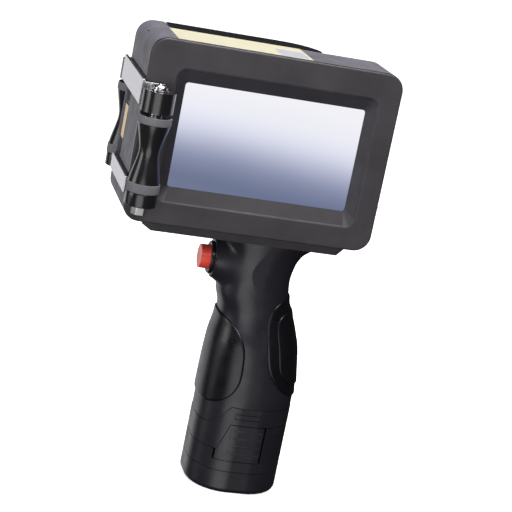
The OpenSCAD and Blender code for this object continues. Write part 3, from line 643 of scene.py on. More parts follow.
def cad_copy(node: str, name: str) -> bpy.types.Object:
    """Copy a CAD node's mesh with its loose triangles merged into clean faces.

    Args:
        node: the CAD node.
        name: the copy's name.

    Returns:
        The new object, which nothing rides on yet.
    """
    mesh = frame["nodes"][node].data.copy()
    mesh.name = name
    mesh.materials.clear()
    if "custom_normal" in mesh.attributes:
        mesh.attributes.remove(mesh.attributes["custom_normal"])
    form = bmesh.new()
    form.from_mesh(mesh)
    bmesh.ops.remove_doubles(form, verts=form.verts, dist=2e-6)
    bmesh.ops.dissolve_limit(
        form, angle_limit=math.radians(0.8), verts=form.verts, edges=form.edges, delimit={"NORMAL"}
    )
    form.to_mesh(mesh)
    form.free()
    obj = bpy.data.objects.new(name, mesh)
    bpy.context.scene.collection.objects.link(obj)
    return obj


def carve(obj: bpy.types.Object, tool: bpy.types.Object, operation: str = "DIFFERENCE") -> bpy.types.Object:
    """Cut a tool out of an object, or join it on, and throw the tool away.

    Args:
        obj: the object to change.
        tool: a closed mesh.
        operation: DIFFERENCE or UNION.

    Returns:
        The changed object.
    """
    modifier = obj.modifiers.new("carve", "BOOLEAN")
    modifier.operation = operation
    modifier.solver = "EXACT"
    modifier.object = tool
    settle(obj)
    bpy.data.objects.remove(tool)
    return obj


def ease(
    obj: bpy.types.Object, width_mm: float, segments: int = 3, angle_deg: float = 35.0
) -> bpy.types.Object:
    """Round every sharp edge of an object and weight its normals by face size.

    Args:
        obj: the object to change.
        width_mm: how far the rounding reaches from the edge.
        segments: facets across it.
        angle_deg: edges that turn by more than this are rounded.

    Returns:
        The changed object.
    """
    bevel = obj.modifiers.new("ease", "BEVEL")
    bevel.width = width_mm * MM
    bevel.segments = segments
    bevel.limit_method = "ANGLE"
    bevel.angle_limit = math.radians(angle_deg)
    bevel.miter_outer = "MITER_ARC"
    settle(obj)
    mark_sharp(obj.data)
    weight = obj.modifiers.new("weight", "WEIGHTED_NORMAL")
    weight.keep_sharp = True
    return settle(obj)


@dataclass(frozen=True)
class Bond:
    """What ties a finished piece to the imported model."""

    body: str
    slot: str
    finish: Finish
    nodes: tuple[str, ...] = ()

    def tie(self, obj: bpy.types.Object) -> bpy.types.Object:
        """Dress a piece, make it ride on its body, and report it.

        Args:
            obj: the finished piece.

        Returns:
            The same piece.
        """
        obj.data.materials.clear()
        obj.data.materials.append(self.finish.material())
        return self.tie_dressed(obj)

    def tie_dressed(self, obj: bpy.types.Object) -> bpy.types.Object:
        """Make a piece that has its materials already ride on its body, and report it."""
        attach(obj, self.body)
        if self.nodes:
            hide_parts(*self.nodes)
        LOG.info("%s rides on %s, %d faces", obj.name, self.body, len(obj.data.polygons))
        return obj


def body_of_node(node: str) -> str:
    """The body that a CAD node rides on."""
    return frame["nodes"][node]["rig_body"]


def refine(node: str, slot: str, finish: Finish, width_mm: float, segments: int = 3) -> bpy.types.Object:
    """Stand a copy with eased edges in a CAD node's place.

    Args:
        node: the CAD node.
        slot: the record's material slot.
        finish: what it is dressed in.
        width_mm: how far its edges are rounded.
        segments: facets across a rounding.

    Returns:
        The finished piece, named after the node.
    """
    obj = ease(cad_copy(node, f"{node}_eased"), width_mm, segments)
    return Bond(body_of_node(node), slot, finish, (node,)).tie(obj)


# ---- screws and springs, by geometry nodes ----


@dataclass(frozen=True)
class ScrewForm:
    """A pan-head screw with a cross recess: its head sits on z = 0 and its shank runs down."""

    head_r: float
    head_h: float
    shank_r: float
    length: float

    def model(self) -> bpy.types.Object:
        """One screw, standing at the origin."""
        dome = [
            (self.head_r * math.cos(a), self.head_h * (0.35 + 0.65 * math.sin(a)))
            for a in (math.radians(90 * i / 8) for i in range(9))
        ]
        dome[-1] = (0.0, self.head_h)
        profile = [
            (0.0, -self.length),
            (self.shank_r * 0.8, -self.length),
            (self.shank_r, -self.length + self.shank_r * 0.5),
            (self.shank_r, 0.0),
            (self.head_r * 0.97, 0.0),
            *dome,
        ]
        screw = turned(profile, 40).object("screw_model")
        for turn in (0, 90):
            arm = self.recess_arm().object("recess_arm")
            arm.data.transform(Matrix.Rotation(math.radians(turn), 4, "Z"))
            carve(screw, arm)
        mark_sharp(screw.data)
        return screw

    def recess_arm(self) -> Shape:
        """One arm of the recess: a slot that narrows downwards."""
        top = (self.head_r * 0.62, self.head_r * 0.15)
        low = (self.head_r * 0.36, self.head_r * 0.11)
        rings = [
            [Vector((sx * size[0], sy * size[1], z)) for sx, sy in ((1, 1), (-1, 1), (-1, -1), (1, -1))]
            for size, z in ((top, self.head_h * 1.2), (low, self.head_h * 0.35))
        ]
        return loft(rings, cap=True)


@dataclass(frozen=True)
class ScrewSet:
    """Screws of one form, set on points by geometry nodes."""

    bond: Bond
    name: str
    form: ScrewForm
    seats: tuple[Vector, ...]
    way: Axis

    def build(self) -> bpy.types.Object:
        """Make the set as one piece."""
        tree = GeometryTree(f"{self.name}_tree")
        model = tree.named("Screw", "Object")
        turn = tree.named("Turn", "Rotation")
        material = tree.named("Finish", "Material")
        info = tree.add("GeometryNodeObjectInfo")
        tree.join(model, info.inputs["Object"])
        info.inputs["As Instance"].default_value = True
        scatter = tree.add("GeometryNodeInstanceOnPoints")
        tree.join(tree.source.outputs["Geometry"], scatter.inputs["Points"])
        tree.join(info.outputs["Geometry"], scatter.inputs["Instance"])
        tree.join(turn, scatter.inputs["Rotation"])
        tree.close(scatter.outputs["Instances"], material)
        screw = self.form.model()
        obj = Shape(list(self.seats)).object(self.name)
        tree.apply(
            obj,
            {
                "Screw": screw,
                "Turn": self.way.turn().to_euler(),
                "Finish": self.bond.finish.material(),
            },
        )
        bpy.data.objects.remove(screw)
        return self.bond.tie(obj)


@dataclass(frozen=True)
class SpringCoil:
    """A coil spring along X, wound by geometry nodes."""

    bond: Bond
    name: str
    node: str
    joint: str
    towards: Axis
    wire_r: float = 0.35
    turns: float = 4.0

    def build(self) -> bpy.types.Object:
        """Wind the spring inside the room its CAD node takes."""
        low, high = (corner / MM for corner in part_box(self.node))
        radius = (high.y - low.y) / 2 - self.wire_r
        tree = GeometryTree(f"{self.name}_tree")
        sizes = {n: tree.named(n) for n in ("Radius", "Length", "Wire radius", "Turns")}
        material = tree.named("Finish", "Material")
        spiral = tree.add("GeometryNodeCurveSpiral")
        spiral.inputs["Resolution"].default_value = 28
        tree.join(sizes["Turns"], spiral.inputs["Rotations"])
        tree.join(sizes["Radius"], spiral.inputs["Start Radius"])
        tree.join(sizes["Radius"], spiral.inputs["End Radius"])
        tree.join(sizes["Length"], spiral.inputs["Height"])
        wire = tree.add("GeometryNodeCurvePrimitiveCircle")
        wire.inputs["Resolution"].default_value = 12
        tree.join(sizes["Wire radius"], wire.inputs["Radius"])
        sweep = tree.add("GeometryNodeCurveToMesh")
        sweep.inputs["Fill Caps"].default_value = True
        tree.join(spiral.outputs[0], sweep.inputs["Curve"])
        tree.join(wire.outputs[0], sweep.inputs["Profile Curve"])
        tree.close(sweep.outputs[0], material)
        obj = Shape([Vector()]).object(self.name)
        tree.apply(
            obj,
            {
                "Radius": radius * MM,
                "Length": (high.x - low.x - 2 * self.wire_r) * MM,
                "Wire radius": self.wire_r * MM,
                "Turns": self.turns,
                "Finish": self.bond.finish.material(),
            },
        )
        middle = Vector((low.x + self.wire_r, (low.y + high.y) / 2, (low.z + high.z) / 2)) * MM
        obj.data.transform(Matrix.Translation(middle) @ Matrix.Rotation(math.radians(90), 4, "Y"))
        for face in obj.data.polygons:
            face.use_smooth = True
        self.bond.tie(obj)
        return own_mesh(obj)


# ---- where things stand ----


@dataclass(frozen=True)
class Head:
    """The head's size and place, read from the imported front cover."""

    low: Vector
    high: Vector

    @classmethod
    def read(cls) -> "Head":
        """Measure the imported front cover."""
        low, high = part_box("front_cover")
        return cls(low / MM, high / MM)

    @property
    def width(self) -> float:
        """From the printing side to the far side."""
        return self.high.x - self.low.x

    @property
    def height(self) -> float:
        """From the underside to the top."""
        return self.high.z - self.low.z

    def place(self, point: Vector) -> Vector:
        """Take a point in the head's frame to the part's frame."""
        return Vector(((self.low.x + self.high.x) / 2, self.low.y, self.low.z)) + point

    def seat(self, x: float, y: float, z: float) -> Vector:
        """A point in the head's frame, given by its numbers, in the part's frame."""
        return self.place(Vector((x, y, z)))


@dataclass(frozen=True)
class GripForm:
    """The grip's skin: sections along its height, joined by a smooth curve that never overshoots.

    Each station is a share of the grip's height, then the section's middle, half width and half
    depth as shares of the battery pack's half width.
    """

    height: float = 146.5
    half_pack: float = 26.0
    squareness: float = 0.8
    stations: tuple[tuple[float, float, float, float], ...] = (
        (0.00, 0.0, 1.0, 1.0),
        (0.38, 0.0, 1.0, 1.0),
        (0.42, -0.01, 0.985, 0.995),
        (0.50, -0.04, 0.945, 0.965),
        (0.57, -0.06, 0.90, 0.915),
        (0.63, -0.09, 0.82, 0.83),
        (0.69, -0.16, 0.765, 0.765),
        (0.75, -0.26, 0.76, 0.745),
        (0.82, -0.28, 0.74, 0.73),
        (0.88, -0.255, 0.77, 0.745),
        (0.92, -0.21, 0.84, 0.755),
        (0.96, -0.12, 0.99, 0.77),
    )

    def slope(self, i: int, column: int) -> float:
        """The curve's slope at station i, level where the values turn round."""
        if i in (0, len(self.stations) - 1):
            return 0.0
        before, here, after = self.stations[i - 1 : i + 2]
        left = (here[column] - before[column]) / (here[0] - before[0])
        right = (after[column] - here[column]) / (after[0] - here[0])
        return 0.0 if left * right <= 0 else 2 * left * right / (left + right)

    def value(self, column: int, z: float) -> float:
        """One column of the stations at a height.

        Args:
            column: 1 for the middle, 2 for the half width, 3 for the half depth.
            z: the height.

        Returns:
            The value in millimetres.
        """
        share = min(max(z / self.height, self.stations[0][0]), self.stations[-1][0])
        i = max(k for k in range(len(self.stations) - 1) if self.stations[k][0] <= share)
        low, high = self.stations[i], self.stations[i + 1]
        span = high[0] - low[0]
        t = (share - low[0]) / span
        a, b = low[column], high[column]
        curve = (
            a * (1 + 2 * t) * (1 - t) ** 2
            + b * t**2 * (3 - 2 * t)
            + span * self.slope(i, column) * t * (1 - t) ** 2
            + span * self.slope(i + 1, column) * t**2 * (t - 1)
        )
        return curve * self.half_pack

    def at(self, angle_deg: float, z: float, out: float = 0.0) -> Vector:
        """A point on the grip.

        Args:
            angle_deg: counted from the front towards +X.
            z: the height.
            out: how far outside the skin.

        Returns:
            The point, in millimetres.
        """
        s, c = math.sin(math.radians(angle_deg)), math.cos(math.radians(angle_deg))
        across = math.copysign(abs(s) ** self.squareness, s)
        along = math.copysign(abs(c) ** self.squareness, c)
        return Vector(
            (
                self.value(1, z) + (self.value(2, z) + out) * across,
                -(self.value(3, z) + out) * along,
                z,
            )
        )


# ---- head ----


@dataclass(frozen=True)
class FrontCover:
    """The flat bezel with a rounded rim and a sloping recess round the glass."""

    head: Head
    corner_r: float = 9.0
    rim: float = 2.2
    rim_round: float = 0.9
    seam: float = 0.6
    seam_inset: float = 0.8
    glass_half: tuple[float, float] = (48.0, 27.5)
    glass_middle: tuple[float, float] = (2.1, 47.4)
    recess: float = 3.0
    slope_side: float = 5.8
    slope_top: float = 7.3
    slope_bottom: float = 8.0
    recess_r: float = 5.5
    glass_r: float = 1.6
    lip: float = 0.55
    frame_margin: float = 6.8

    def outline(self, inset: float, y: float) -> Ring:
        """The head's outline, smaller all round by inset."""
        return rounded_rectangle(
            (0, self.head.height / 2),
            (self.head.width / 2 - inset, self.head.height / 2 - inset),
            self.corner_r - inset,
            y,
        )

    def opening(self, share: float, y: float, grow: float = 0.0) -> Ring:
        """The recess's outline at a share of the way from the glass (0) to the front face (1)."""
        side, top, bottom = (share * s for s in (self.slope_side, self.slope_top, self.slope_bottom))
        return rounded_rectangle(
            (self.glass_middle[0], self.glass_middle[1] + (top - bottom) / 2),
            (self.glass_half[0] + side + grow, self.glass_half[1] + (top + bottom) / 2 + grow),
            self.glass_r + share * (self.recess_r - self.glass_r) + grow * 0.5,
            y,
        )

    def shape(self) -> Shape:
        """The cover as one closed loft, from the seam round the rim, over the face, into the recess."""
        back = self.rim + self.seam
        rings = [self.outline(self.seam_inset, back), self.outline(self.seam_inset, self.rim)]
        rings += [self.outline(0.12, self.rim), self.outline(0.0, self.rim - 0.12)]
        for i in range(7):
            angle = math.radians(90 * i / 6)
            inset = self.rim_round * (1 - math.cos(angle))
            rings.append(self.outline(inset, self.rim_round * (1 - math.sin(angle))))
        rings.append(self.outline(self.rim_round + 0.6, 0.0))
        rings.append(self.opening(1.10, 0.0))
        for share, depth in ((1.03, 0.0), (0.985, 0.035), (0.945, 0.13), (0.90, 0.27)):
            rings.append(self.opening(share, self.recess * depth))
        rings.append(self.opening(0.06, self.recess * 0.955))
        rings.append(self.opening(0.0, self.recess))
        rings.append(self.opening(0.0, self.recess + self.lip))
        rings.append(self.opening(0.0, self.recess + self.lip, self.frame_margin))
        rings.append(self.opening(0.0, back, self.frame_margin))
        return loft(rings, wrap=True)

    def build(self) -> None:
        """Make the cover, with its recess darker than its face and its rim in gloss black."""
        obj = self.shape().object("front_cover_bezel", self.head.place)
        mesh = obj.data
        mesh.materials.append(DARK_MOULDING.material())
        mesh.materials.append(RECESS_MOULDING.material())
        mesh.materials.append(GLOSS_BLACK.material())
        front = self.head.low.y * MM
        deep = front + self.recess * 0.2 * MM
        seam = front + self.rim * MM
        centre = self.head.seat(*self.glass_middle[:1], 0, self.glass_middle[1]) * MM
        reach = self.glass_half[0] + self.slope_side + 1
        for face in mesh.polygons:
            inside = abs(face.center.x - centre.x) < reach * MM
            sloping = deep < face.center.y < seam + 2 * MM and inside
            upper = face.normal.z < 0.05 or face.center.y > front + self.recess * MM
            tall = abs(face.center.z - centre.z) < (self.glass_half[1] + self.slope_bottom) * MM
            if sloping and upper and tall:
                face.material_index = 1
            elif not (inside and tall) and face.center.y > front + self.rim_round * 0.5 * MM:
                face.material_index = 2
        Bond("printer", "dark_moulding", DARK_MOULDING, ("front_cover",)).tie_dressed(obj)


@dataclass(frozen=True)
class TouchScreen:
    """The glass with the display idling behind it."""

    cover: FrontCover

    def build(self) -> None:
        """Make the glass plate, and dress the display module behind it."""
        head, glass = self.cover.head, self.cover
        bottom = head.seat(0, 0, glass.glass_middle[1] - glass.glass_half[1]).z * MM
        top = head.seat(0, 0, glass.glass_middle[1] + glass.glass_half[1]).z * MM
        finish = ScreenFinish(
            "idle_screen", (0.012, 0.013, 0.016), 0.06, grain_mm=6.0, grain_depth_mm=0.002, coat=0.3,
            bottom=bottom, top=top, glow=IDLE_GLOW,
        )
        refine("screen_glass", "screen_glass", finish, 0.25, 2)
        refine("display_module", "display_frame", DISPLAY_FRAME, 0.3, 2)


@dataclass(frozen=True)
class HeadShell:
    """The casing behind the bezel, the rear housing, the cartridge cover and the mount plate."""

    head: Head
    boss_in: float = 8.5

    def build(self) -> None:
        """Make each moulding, the label and the screws."""
        refine("mid_casing", "dark_moulding", GREY_MOULDING, 0.45, 3)
        refine("rear_housing", "grey_moulding", GREY_MOULDING, 0.9, 4)
        refine("cartridge_cover", "gloss_black", GLOSS_BLACK, 1.1, 4)
        refine("mount_plate", "dark_moulding", DARK_MOULDING, 0.9, 4)
        refine("top_label", "label_paper", LABEL_PAPER, 0.06, 1)
        refine("label_patch", "label_panel", LABEL_PANEL, 0.03, 1)
        refine("cover_hinge_pin", "bright_steel", BRIGHT_STEEL, 0.3, 2)
        self.screws()

    def screws(self) -> None:
        """The screws that close the casing and hold the mount plate."""
        x = self.head.width / 2 - self.boss_in
        heights = (self.boss_in, self.head.height - self.boss_in)
        left = tuple(self.head.seat(-x, 31.4, z) for z in heights)
        right = tuple(self.head.seat(x, 36.0, z) for z in heights)
        form = ScrewForm(head_r=2.8, head_h=1.8, shank_r=1.45, length=26.0)
        ScrewSet(
            Bond("printer", "black_screw", BLACK_SCREW, ("casing_screws",)),
            "casing_screw_set", form, left + right, Axis.BACK,
        ).build()
        plate_low, plate_high = (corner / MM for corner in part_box("mount_plate"))
        seats = tuple(
            Vector((px, py, plate_low.z + 2.1))
            for px in (plate_low.x + 9, plate_high.x - 10)
            for py in (plate_low.y + 6, self.head.seat(0, 25.0, 0).y)
        )
        ScrewSet(
            Bond("printer", "black_screw", BLACK_SCREW, ("neck_screws",)),
            "neck_screw_set", ScrewForm(2.75, 1.6, 1.45, 8.6), seats, Axis.DOWN,
        ).build()


@dataclass(frozen=True)
class CartridgeBay:
    """The ink cartridge, its cradle and its contacts."""

    def build(self) -> None:
        """Ease the edges of each inner piece and dress it."""
        refine("cartridge_cradle", "inner_plastic", INNER_PLASTIC, 0.4, 2)
        refine("ink_cartridge", "cartridge_plastic", CARTRIDGE_PLASTIC, 0.8, 3)
        refine("nozzle_plate", "gold_contact", GOLD, 0.1, 1)
        refine("contact_block", "gold_contact", GOLD, 0.2, 1)


@dataclass(frozen=True)
class Electronics:
    """The main board with its chips, its spacers and the data socket."""

    chips: int = 46
    seed: int = 7

    def build(self) -> None:
        """Make the board with chips on it, and dress the rest."""
        self.board()
        refine("board_spacers", "gold_contact", GOLD, 0.25, 2)
        refine("usb_port", "bright_steel", BRIGHT_STEEL, 0.12, 2)

    def board(self) -> None:
        """The board, with chips of mixed sizes set on its back by geometry nodes."""
        low, high = (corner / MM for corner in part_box("main_board"))
        obj = ease(cad_copy("main_board", "main_board_eased"), 0.15, 1)
        Bond("printer", "circuit_board", CIRCUIT_BOARD, ("main_board",)).tie(obj)
        tree = GeometryTree("chips_tree")
        width, height = tree.named("Width"), tree.named("Height")
        chip, count = tree.named("Largest chip"), tree.named("Count", "Int")
        seed, material = tree.named("Seed", "Int"), tree.named("Finish", "Material")
        area = tree.add("GeometryNodeMeshGrid")
        tree.join(width, area.inputs["Size X"])
        tree.join(height, area.inputs["Size Y"])
        area.inputs["Vertices X"].default_value = 9
        area.inputs["Vertices Y"].default_value = 6
        keep = tree.add("FunctionNodeRandomValue", data_type="BOOLEAN")
        keep.inputs["Probability"].default_value = 0.6
        tree.join(seed, keep.inputs["Seed"])
        block = tree.add("GeometryNodeMeshCube")
        size = tree.add("FunctionNodeRandomValue", data_type="FLOAT_VECTOR")
        size.inputs["Min"].default_value = (0.3, 0.25, 0.2)
        tree.join(seed, size.inputs["Seed"])
        sized = tree.add("ShaderNodeCombineXYZ")
        for axis in "XYZ":
            tree.join(chip, sized.inputs[axis])
        tree.join(sized.outputs[0], block.inputs["Size"])
        scatter = tree.add("GeometryNodeInstanceOnPoints")
        tree.join(area.outputs["Mesh"], scatter.inputs["Points"])
        tree.join(block.outputs["Mesh"], scatter.inputs["Instance"])
        tree.join(size.outputs["Value"], scatter.inputs["Scale"])
        tree.join(keep.outputs[3], scatter.inputs["Selection"])
        tree.close(scatter.outputs["Instances"], material)
        chips = Shape([Vector()]).object("board_chips")
        tree.apply(
            chips,
            {
                "Width": (high.x - low.x - 34) * MM,
                "Height": (high.z - low.z - 16) * MM,
                "Largest chip": 5.5 * MM,
                "Count": self.chips,
                "Seed": self.seed,
                "Finish": CARTRIDGE_PLASTIC.material(),
            },
        )
        middle = Vector(((low.x + high.x) / 2 - 5, high.y + 0.6, (low.z + high.z) / 2)) * MM
        chips.data.transform(Matrix.Translation(middle) @ Matrix.Rotation(math.radians(-90), 4, "X"))
        Bond("printer", "inner_plastic", CARTRIDGE_PLASTIC).tie(chips)


# ---- grip ----


@dataclass(frozen=True)
class Grip:
    """The two grip shells with the trigger's boss, the pads and the screws."""

    form: GripForm
    top: float = 140.5
    low_edge: tuple[tuple[float, float], tuple[float, float]] = ((-21.0, 38.0), (-11.0, 50.0))
    hair: float = 0.3
    wall: float = 2.0
    trigger_z: float = 125.2
    boss_r: float = 10.4
    boss_reach: float = 5.7
    boss_draft: float = 2.2
    boss_blend: float = 5.0
    hole_r: float = 7.9
    columns: int = 96
    rows: int = 150
    screw_heights: tuple[float, ...] = (97.0, 112.0, 134.0)

    @property
    def boss_face(self) -> float:
        """How far towards -X the trigger's boss stands."""
        return self.form.at(-90, self.trigger_z).x - self.boss_reach

    def foot(self, x: float) -> float:
        """The height of the shells' lower edge, which steps down on the trigger's side."""
        (x0, z0), (x1, z1) = self.low_edge
        t = min(max((x - x0) / (x1 - x0), 0.0), 1.0)
        return z0 + (z1 - z0) * t + self.hair

    def skin(self, angle_deg: float, z: float) -> Vector:
        """A point on the shell, drawn out to the trigger's boss where that stands further out."""
        point = self.form.at(angle_deg, z)
        if point.x > self.form.value(1, z):
            return point
        away = math.hypot(point.y, z - self.trigger_z)
        boss = -self.boss_face - self.boss_draft * max(0.0, away - self.boss_r)
        side = -point.x
        k = self.boss_blend
        h = max(k - abs(boss - side), 0.0) / k
        reach = min(max(boss, side) + h * h * k / 4, max(side, -self.boss_face))
        return Vector((-reach, point.y, z))

    def shell(self, name: str, way: int) -> bpy.types.Object:
        """One half of the grip.

        Args:
            name: the object's name.
            way: -1 for the front half, 1 for the rear half.

        Returns:
            The shell, not yet dressed.
        """
        shape = Shape()
        angles = [-90 + 180 * i / self.columns for i in range(self.columns + 1)]
        for angle in angles:
            foot = self.foot(self.form.at(angle, 44).x)
            for j in range(self.rows + 1):
                z = foot + (self.top - foot) * j / self.rows
                point = self.skin(angle, z)
                shape.points.append(Vector((point.x, -way * point.y, point.z)))
        step = self.rows + 1
        for i in range(self.columns):
            for j in range(self.rows):
                corner = i * step + j
                face = (corner, corner + 1, corner + step + 1, corner + step)
                shape.faces.append(face if way < 0 else face[::-1])
        mesh = bpy.data.meshes.new(name)
        mesh.from_pydata([p * MM for p in shape.points], [], shape.faces)
        obj = bpy.data.objects.new(name, mesh)
        bpy.context.scene.collection.objects.link(obj)
        thick = obj.modifiers.new("wall", "SOLIDIFY")
        thick.thickness = self.wall * MM
        thick.offset = 1.0
        settle(obj)
        form = bmesh.new()
        form.from_mesh(obj.data)
        bmesh.ops.recalc_face_normals(form, faces=form.faces)
        form.to_mesh(obj.data)
        form.free()
        bore = turned([(0, -14), (self.hole_r, -14), (self.hole_r, 4), (0, 4)], 72)
        tool = bore.object(
            "trigger_bore",
            lambda p: Vector((self.boss_face - p.z, p.x, self.trigger_z + p.y)),
        )
        carve(obj, tool)
        return ease(obj, 0.22, 2, 50.0)

    def pad(
        self, name: str, middle: tuple[float, float], half: tuple[float, float],
        power: float, lean: float, inside: float, outside: float, edge: float = 1.3,
    ) -> bpy.types.Object:
        """A rubber pad with a rounded edge that follows the grip's skin.

        Args:
            name: the object's name.
            middle: its angle and height.
            half: half its angle and half its height.
            power: how square its outline is.
            lean: how much wider its top is than its middle.
            inside: how far its underside is from the skin.
            outside: how far its face is from the skin.
            edge: radius of its rounded edge.

        Returns:
            The pad, not yet dressed.
        """
        sides = 144
        across = math.radians(half[0]) * self.form.half_pack * 0.85
        thick = outside - inside

        def ring(share: float, out: float) -> Ring:
            """The pad's outline scaled by share, at a distance from the skin."""
            points = []
            for i in range(sides):
                a = 2 * math.pi * i / sides
                u = math.copysign(abs(math.cos(a)) ** (2 / power), math.cos(a)) * share
                v = math.copysign(abs(math.sin(a)) ** (2 / power), math.sin(a)) * share
                points.append(
                    self.form.at(middle[0] + u * half[0] * (1 + lean * v), middle[1] + v * half[1], out)
                )
            return points

        inner = [ring(s, inside) for s in (0.02, 0.3, 0.6, 0.85, 1.0)]
        rim = []
        for i in range(6):
            a = math.radians(90 * i / 5)
            share = 1 - edge * (1 - math.cos(a)) / across
            rim.append(ring(share, inside + thick * (0.35 + 0.65 * math.sin(a))))
        last = 1 - edge / across
        outer = [ring(last * s, outside) for s in (0.97, 0.9, 0.8, 0.7, 0.6, 0.5, 0.4, 0.3, 0.2, 0.1, 0.02)]
        return loft(inner + rim + outer, cap=True).object(name)

    def build(self) -> None:
        """Make the shells, pads and screws."""
        for name, node, way in (
            ("grip_front_skin", "grip_front_shell", -1),
            ("grip_rear_skin", "grip_rear_shell", 1),
        ):
            Bond("printer", "grip_moulding", GRIP_MOULDING, (node,)).tie(self.shell(name, way))
        left = self.pad("left_grip_rubber", (-90, 73), (76, 24.3), 2.8, 0.0, 0.12, 1.0)
        Bond("printer", "grip_rubber", GRIP_RUBBER, ("left_grip_pad",)).tie(left)
        right = self.pad("right_grip_rubber", (90, 84.5), (84, 27.3), 3.0, 0.06, 0.12, 0.9)
        Bond("printer", "grip_rubber", GRIP_RUBBER, ("right_grip_pad",)).tie(right)
        palm = self.pad("right_palm_rubber", (90, 84.5), (70, 20.3), 4.0, 0.05, 0.92, 1.7)
        Bond("printer", "grip_rubber", GRIP_RUBBER, ("right_palm_pad",)).tie(palm)
        seats = tuple(
            Vector((self.form.value(1, z) + 4, self.form.value(3, z) - 1.3, z)) for z in self.screw_heights
        )
        ScrewSet(
            Bond("printer", "black_screw", BLACK_SCREW, ("grip_screws",)),
            "grip_screw_set", ScrewForm(2.6, 1.5, 1.4, 28.0), seats, Axis.BACK,
        ).build()


@dataclass(frozen=True)
class BatteryPack:
    """The pack that slides out of the grip, with its release tabs, cells and contacts."""

    screw_reach: float = 23.8

    def build(self) -> None:
        """Make the pack's mouldings, its cells and its screws."""
        refine("battery_collar", "grip_moulding", GRIP_MOULDING, 0.28, 2)
        refine("battery_shell", "grip_moulding", GRIP_MOULDING, 0.28, 2)
        refine("battery_base_cap", "grip_moulding", GRIP_MOULDING, 0.3, 2)
        refine("front_release_tab", "grip_moulding", GRIP_MOULDING, 0.22, 2)
        refine("rear_release_tab", "grip_moulding", GRIP_MOULDING, 0.22, 2)
        refine("battery_terminals", "gold_contact", GOLD, 0.1, 1)
        refine("contact_carrier", "inner_plastic", INNER_PLASTIC, 0.3, 2)
        refine("carrier_pins", "gold_contact", GOLD, 0.3, 2)
        self.cells()
        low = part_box("base_screws")[0].z / MM
        seats = tuple(
            Vector(
                (
                    self.screw_reach * math.cos(math.radians(a)),
                    self.screw_reach * math.sin(math.radians(a)),
                    low + 1.8,
                )
            )
            for a in range(45, 360, 90)
        )
        ScrewSet(
            Bond("battery", "black_screw", BLACK_SCREW, ("base_screws",)),
            "base_screw_set", ScrewForm(2.3, 1.7, 1.15, 12.0), seats, Axis.DOWN,
        ).build()

    def cells(self) -> None:
        """Three wrapped cells, set round the axis by geometry nodes."""
        low, high = (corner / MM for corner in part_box("battery_cells"))
        radius = (high.x - low.x) / 4 - 0.02
        height = high.z - low.z
        tree = GeometryTree("cells_tree")
        model = tree.named("Cell", "Object")
        count, reach = tree.named("Count", "Int"), tree.named("Distance from axis")
        material = tree.named("Finish", "Material")
        circle = tree.add("GeometryNodeMeshCircle")
        tree.join(count, circle.inputs["Vertices"])
        tree.join(reach, circle.inputs["Radius"])
        info = tree.add("GeometryNodeObjectInfo")
        info.inputs["As Instance"].default_value = True
        tree.join(model, info.inputs["Object"])
        scatter = tree.add("GeometryNodeInstanceOnPoints")
        tree.join(circle.outputs[0], scatter.inputs["Points"])
        tree.join(info.outputs["Geometry"], scatter.inputs["Instance"])
        tree.close(scatter.outputs["Instances"], material)
        profile = [
            (0, 0), (radius * 0.82, 0), (radius * 0.97, 0.5), (radius, 1.2), (radius, height - 3.4),
            (radius * 0.93, height - 2.8), (radius * 0.93, height - 2.3), (radius, height - 1.8),
            (radius * 0.96, height - 1.0), (radius * 0.35, height - 1.0), (radius * 0.32, height),
            (0, height),
        ]
        cell = turned(profile, 48).object("cell_model")
        obj = Shape([Vector()]).object("battery_cell_set")
        values = {
            "Cell": cell,
            "Count": 3,
            "Distance from axis": (2 * radius / math.sqrt(3) + 0.04) * MM,
            "Finish": CELL_WRAP.material(),
        }
        tree.apply(obj, values)
        bpy.data.objects.remove(cell)
        turn = Matrix.Rotation(math.radians(90), 4, "Z")
        obj.data.transform(Matrix.Translation((0, 0, low.z * MM)) @ turn)
        Bond("battery", "cell_wrap", CELL_WRAP, ("battery_cells",)).tie(obj)


# ---- buttons ----


@dataclass(frozen=True)
class PushButton:
    """A red push button in a black ring, with its spring and switch."""

    name: str
    joint: str
    body: str
    way: Axis
    radius: float

    def cap(self) -> None:
        """The red cap: a shallow dished face with a rounded rim, over a collar and a stem."""
        low, high = (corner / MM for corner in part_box(f"{self.name}_button"))
        length = high.x - low.x
        r, stem = self.radius, length - 3.8
        face = [(0, 0.25), (r * 0.55, 0.18), (r * 0.82, 0.04)]
        rim = rounded_profile([(r * 0.82, 0.0), (r, 0.0), (r, 3.0)], 0.8, closed=False)
        collar_r, collar_z, stem_r = r + 1.1, stem - 2.2, 1.2
        tail = [
            (r, collar_z), (collar_r, collar_z), (collar_r, stem),
            (stem_r, stem), (stem_r, length), (0, length),
        ]
        shape = turned(face + rim[1:] + tail, 72)
        face_x = low.x if self.way is Axis.RIGHT else high.x
        middle = Vector((face_x, (low.y + high.y) / 2, (low.z + high.z) / 2))
        turn = self.way.turn()
        obj = shape.object(f"{self.name}_cap", lambda p: middle + turn @ p)
        Bond(self.body, "red_button", RED_GLOSS, (f"{self.name}_button",)).tie(obj)

    def build(self) -> None:
        """Make the cap, its ring, spring and switch."""
        self.cap()
        refine(f"{self.name}_bezel", "button_ring", BUTTON_RING, 0.5, 3)
        refine(f"{self.name}_switch", "inner_plastic", INNER_PLASTIC, 0.3, 2)
        SpringCoil(
            Bond("printer", "bright_steel", BRIGHT_STEEL, (f"{self.name}_spring",)),
            f"{self.name}_coil", f"{self.name}_spring", self.joint, self.way,
        ).build()


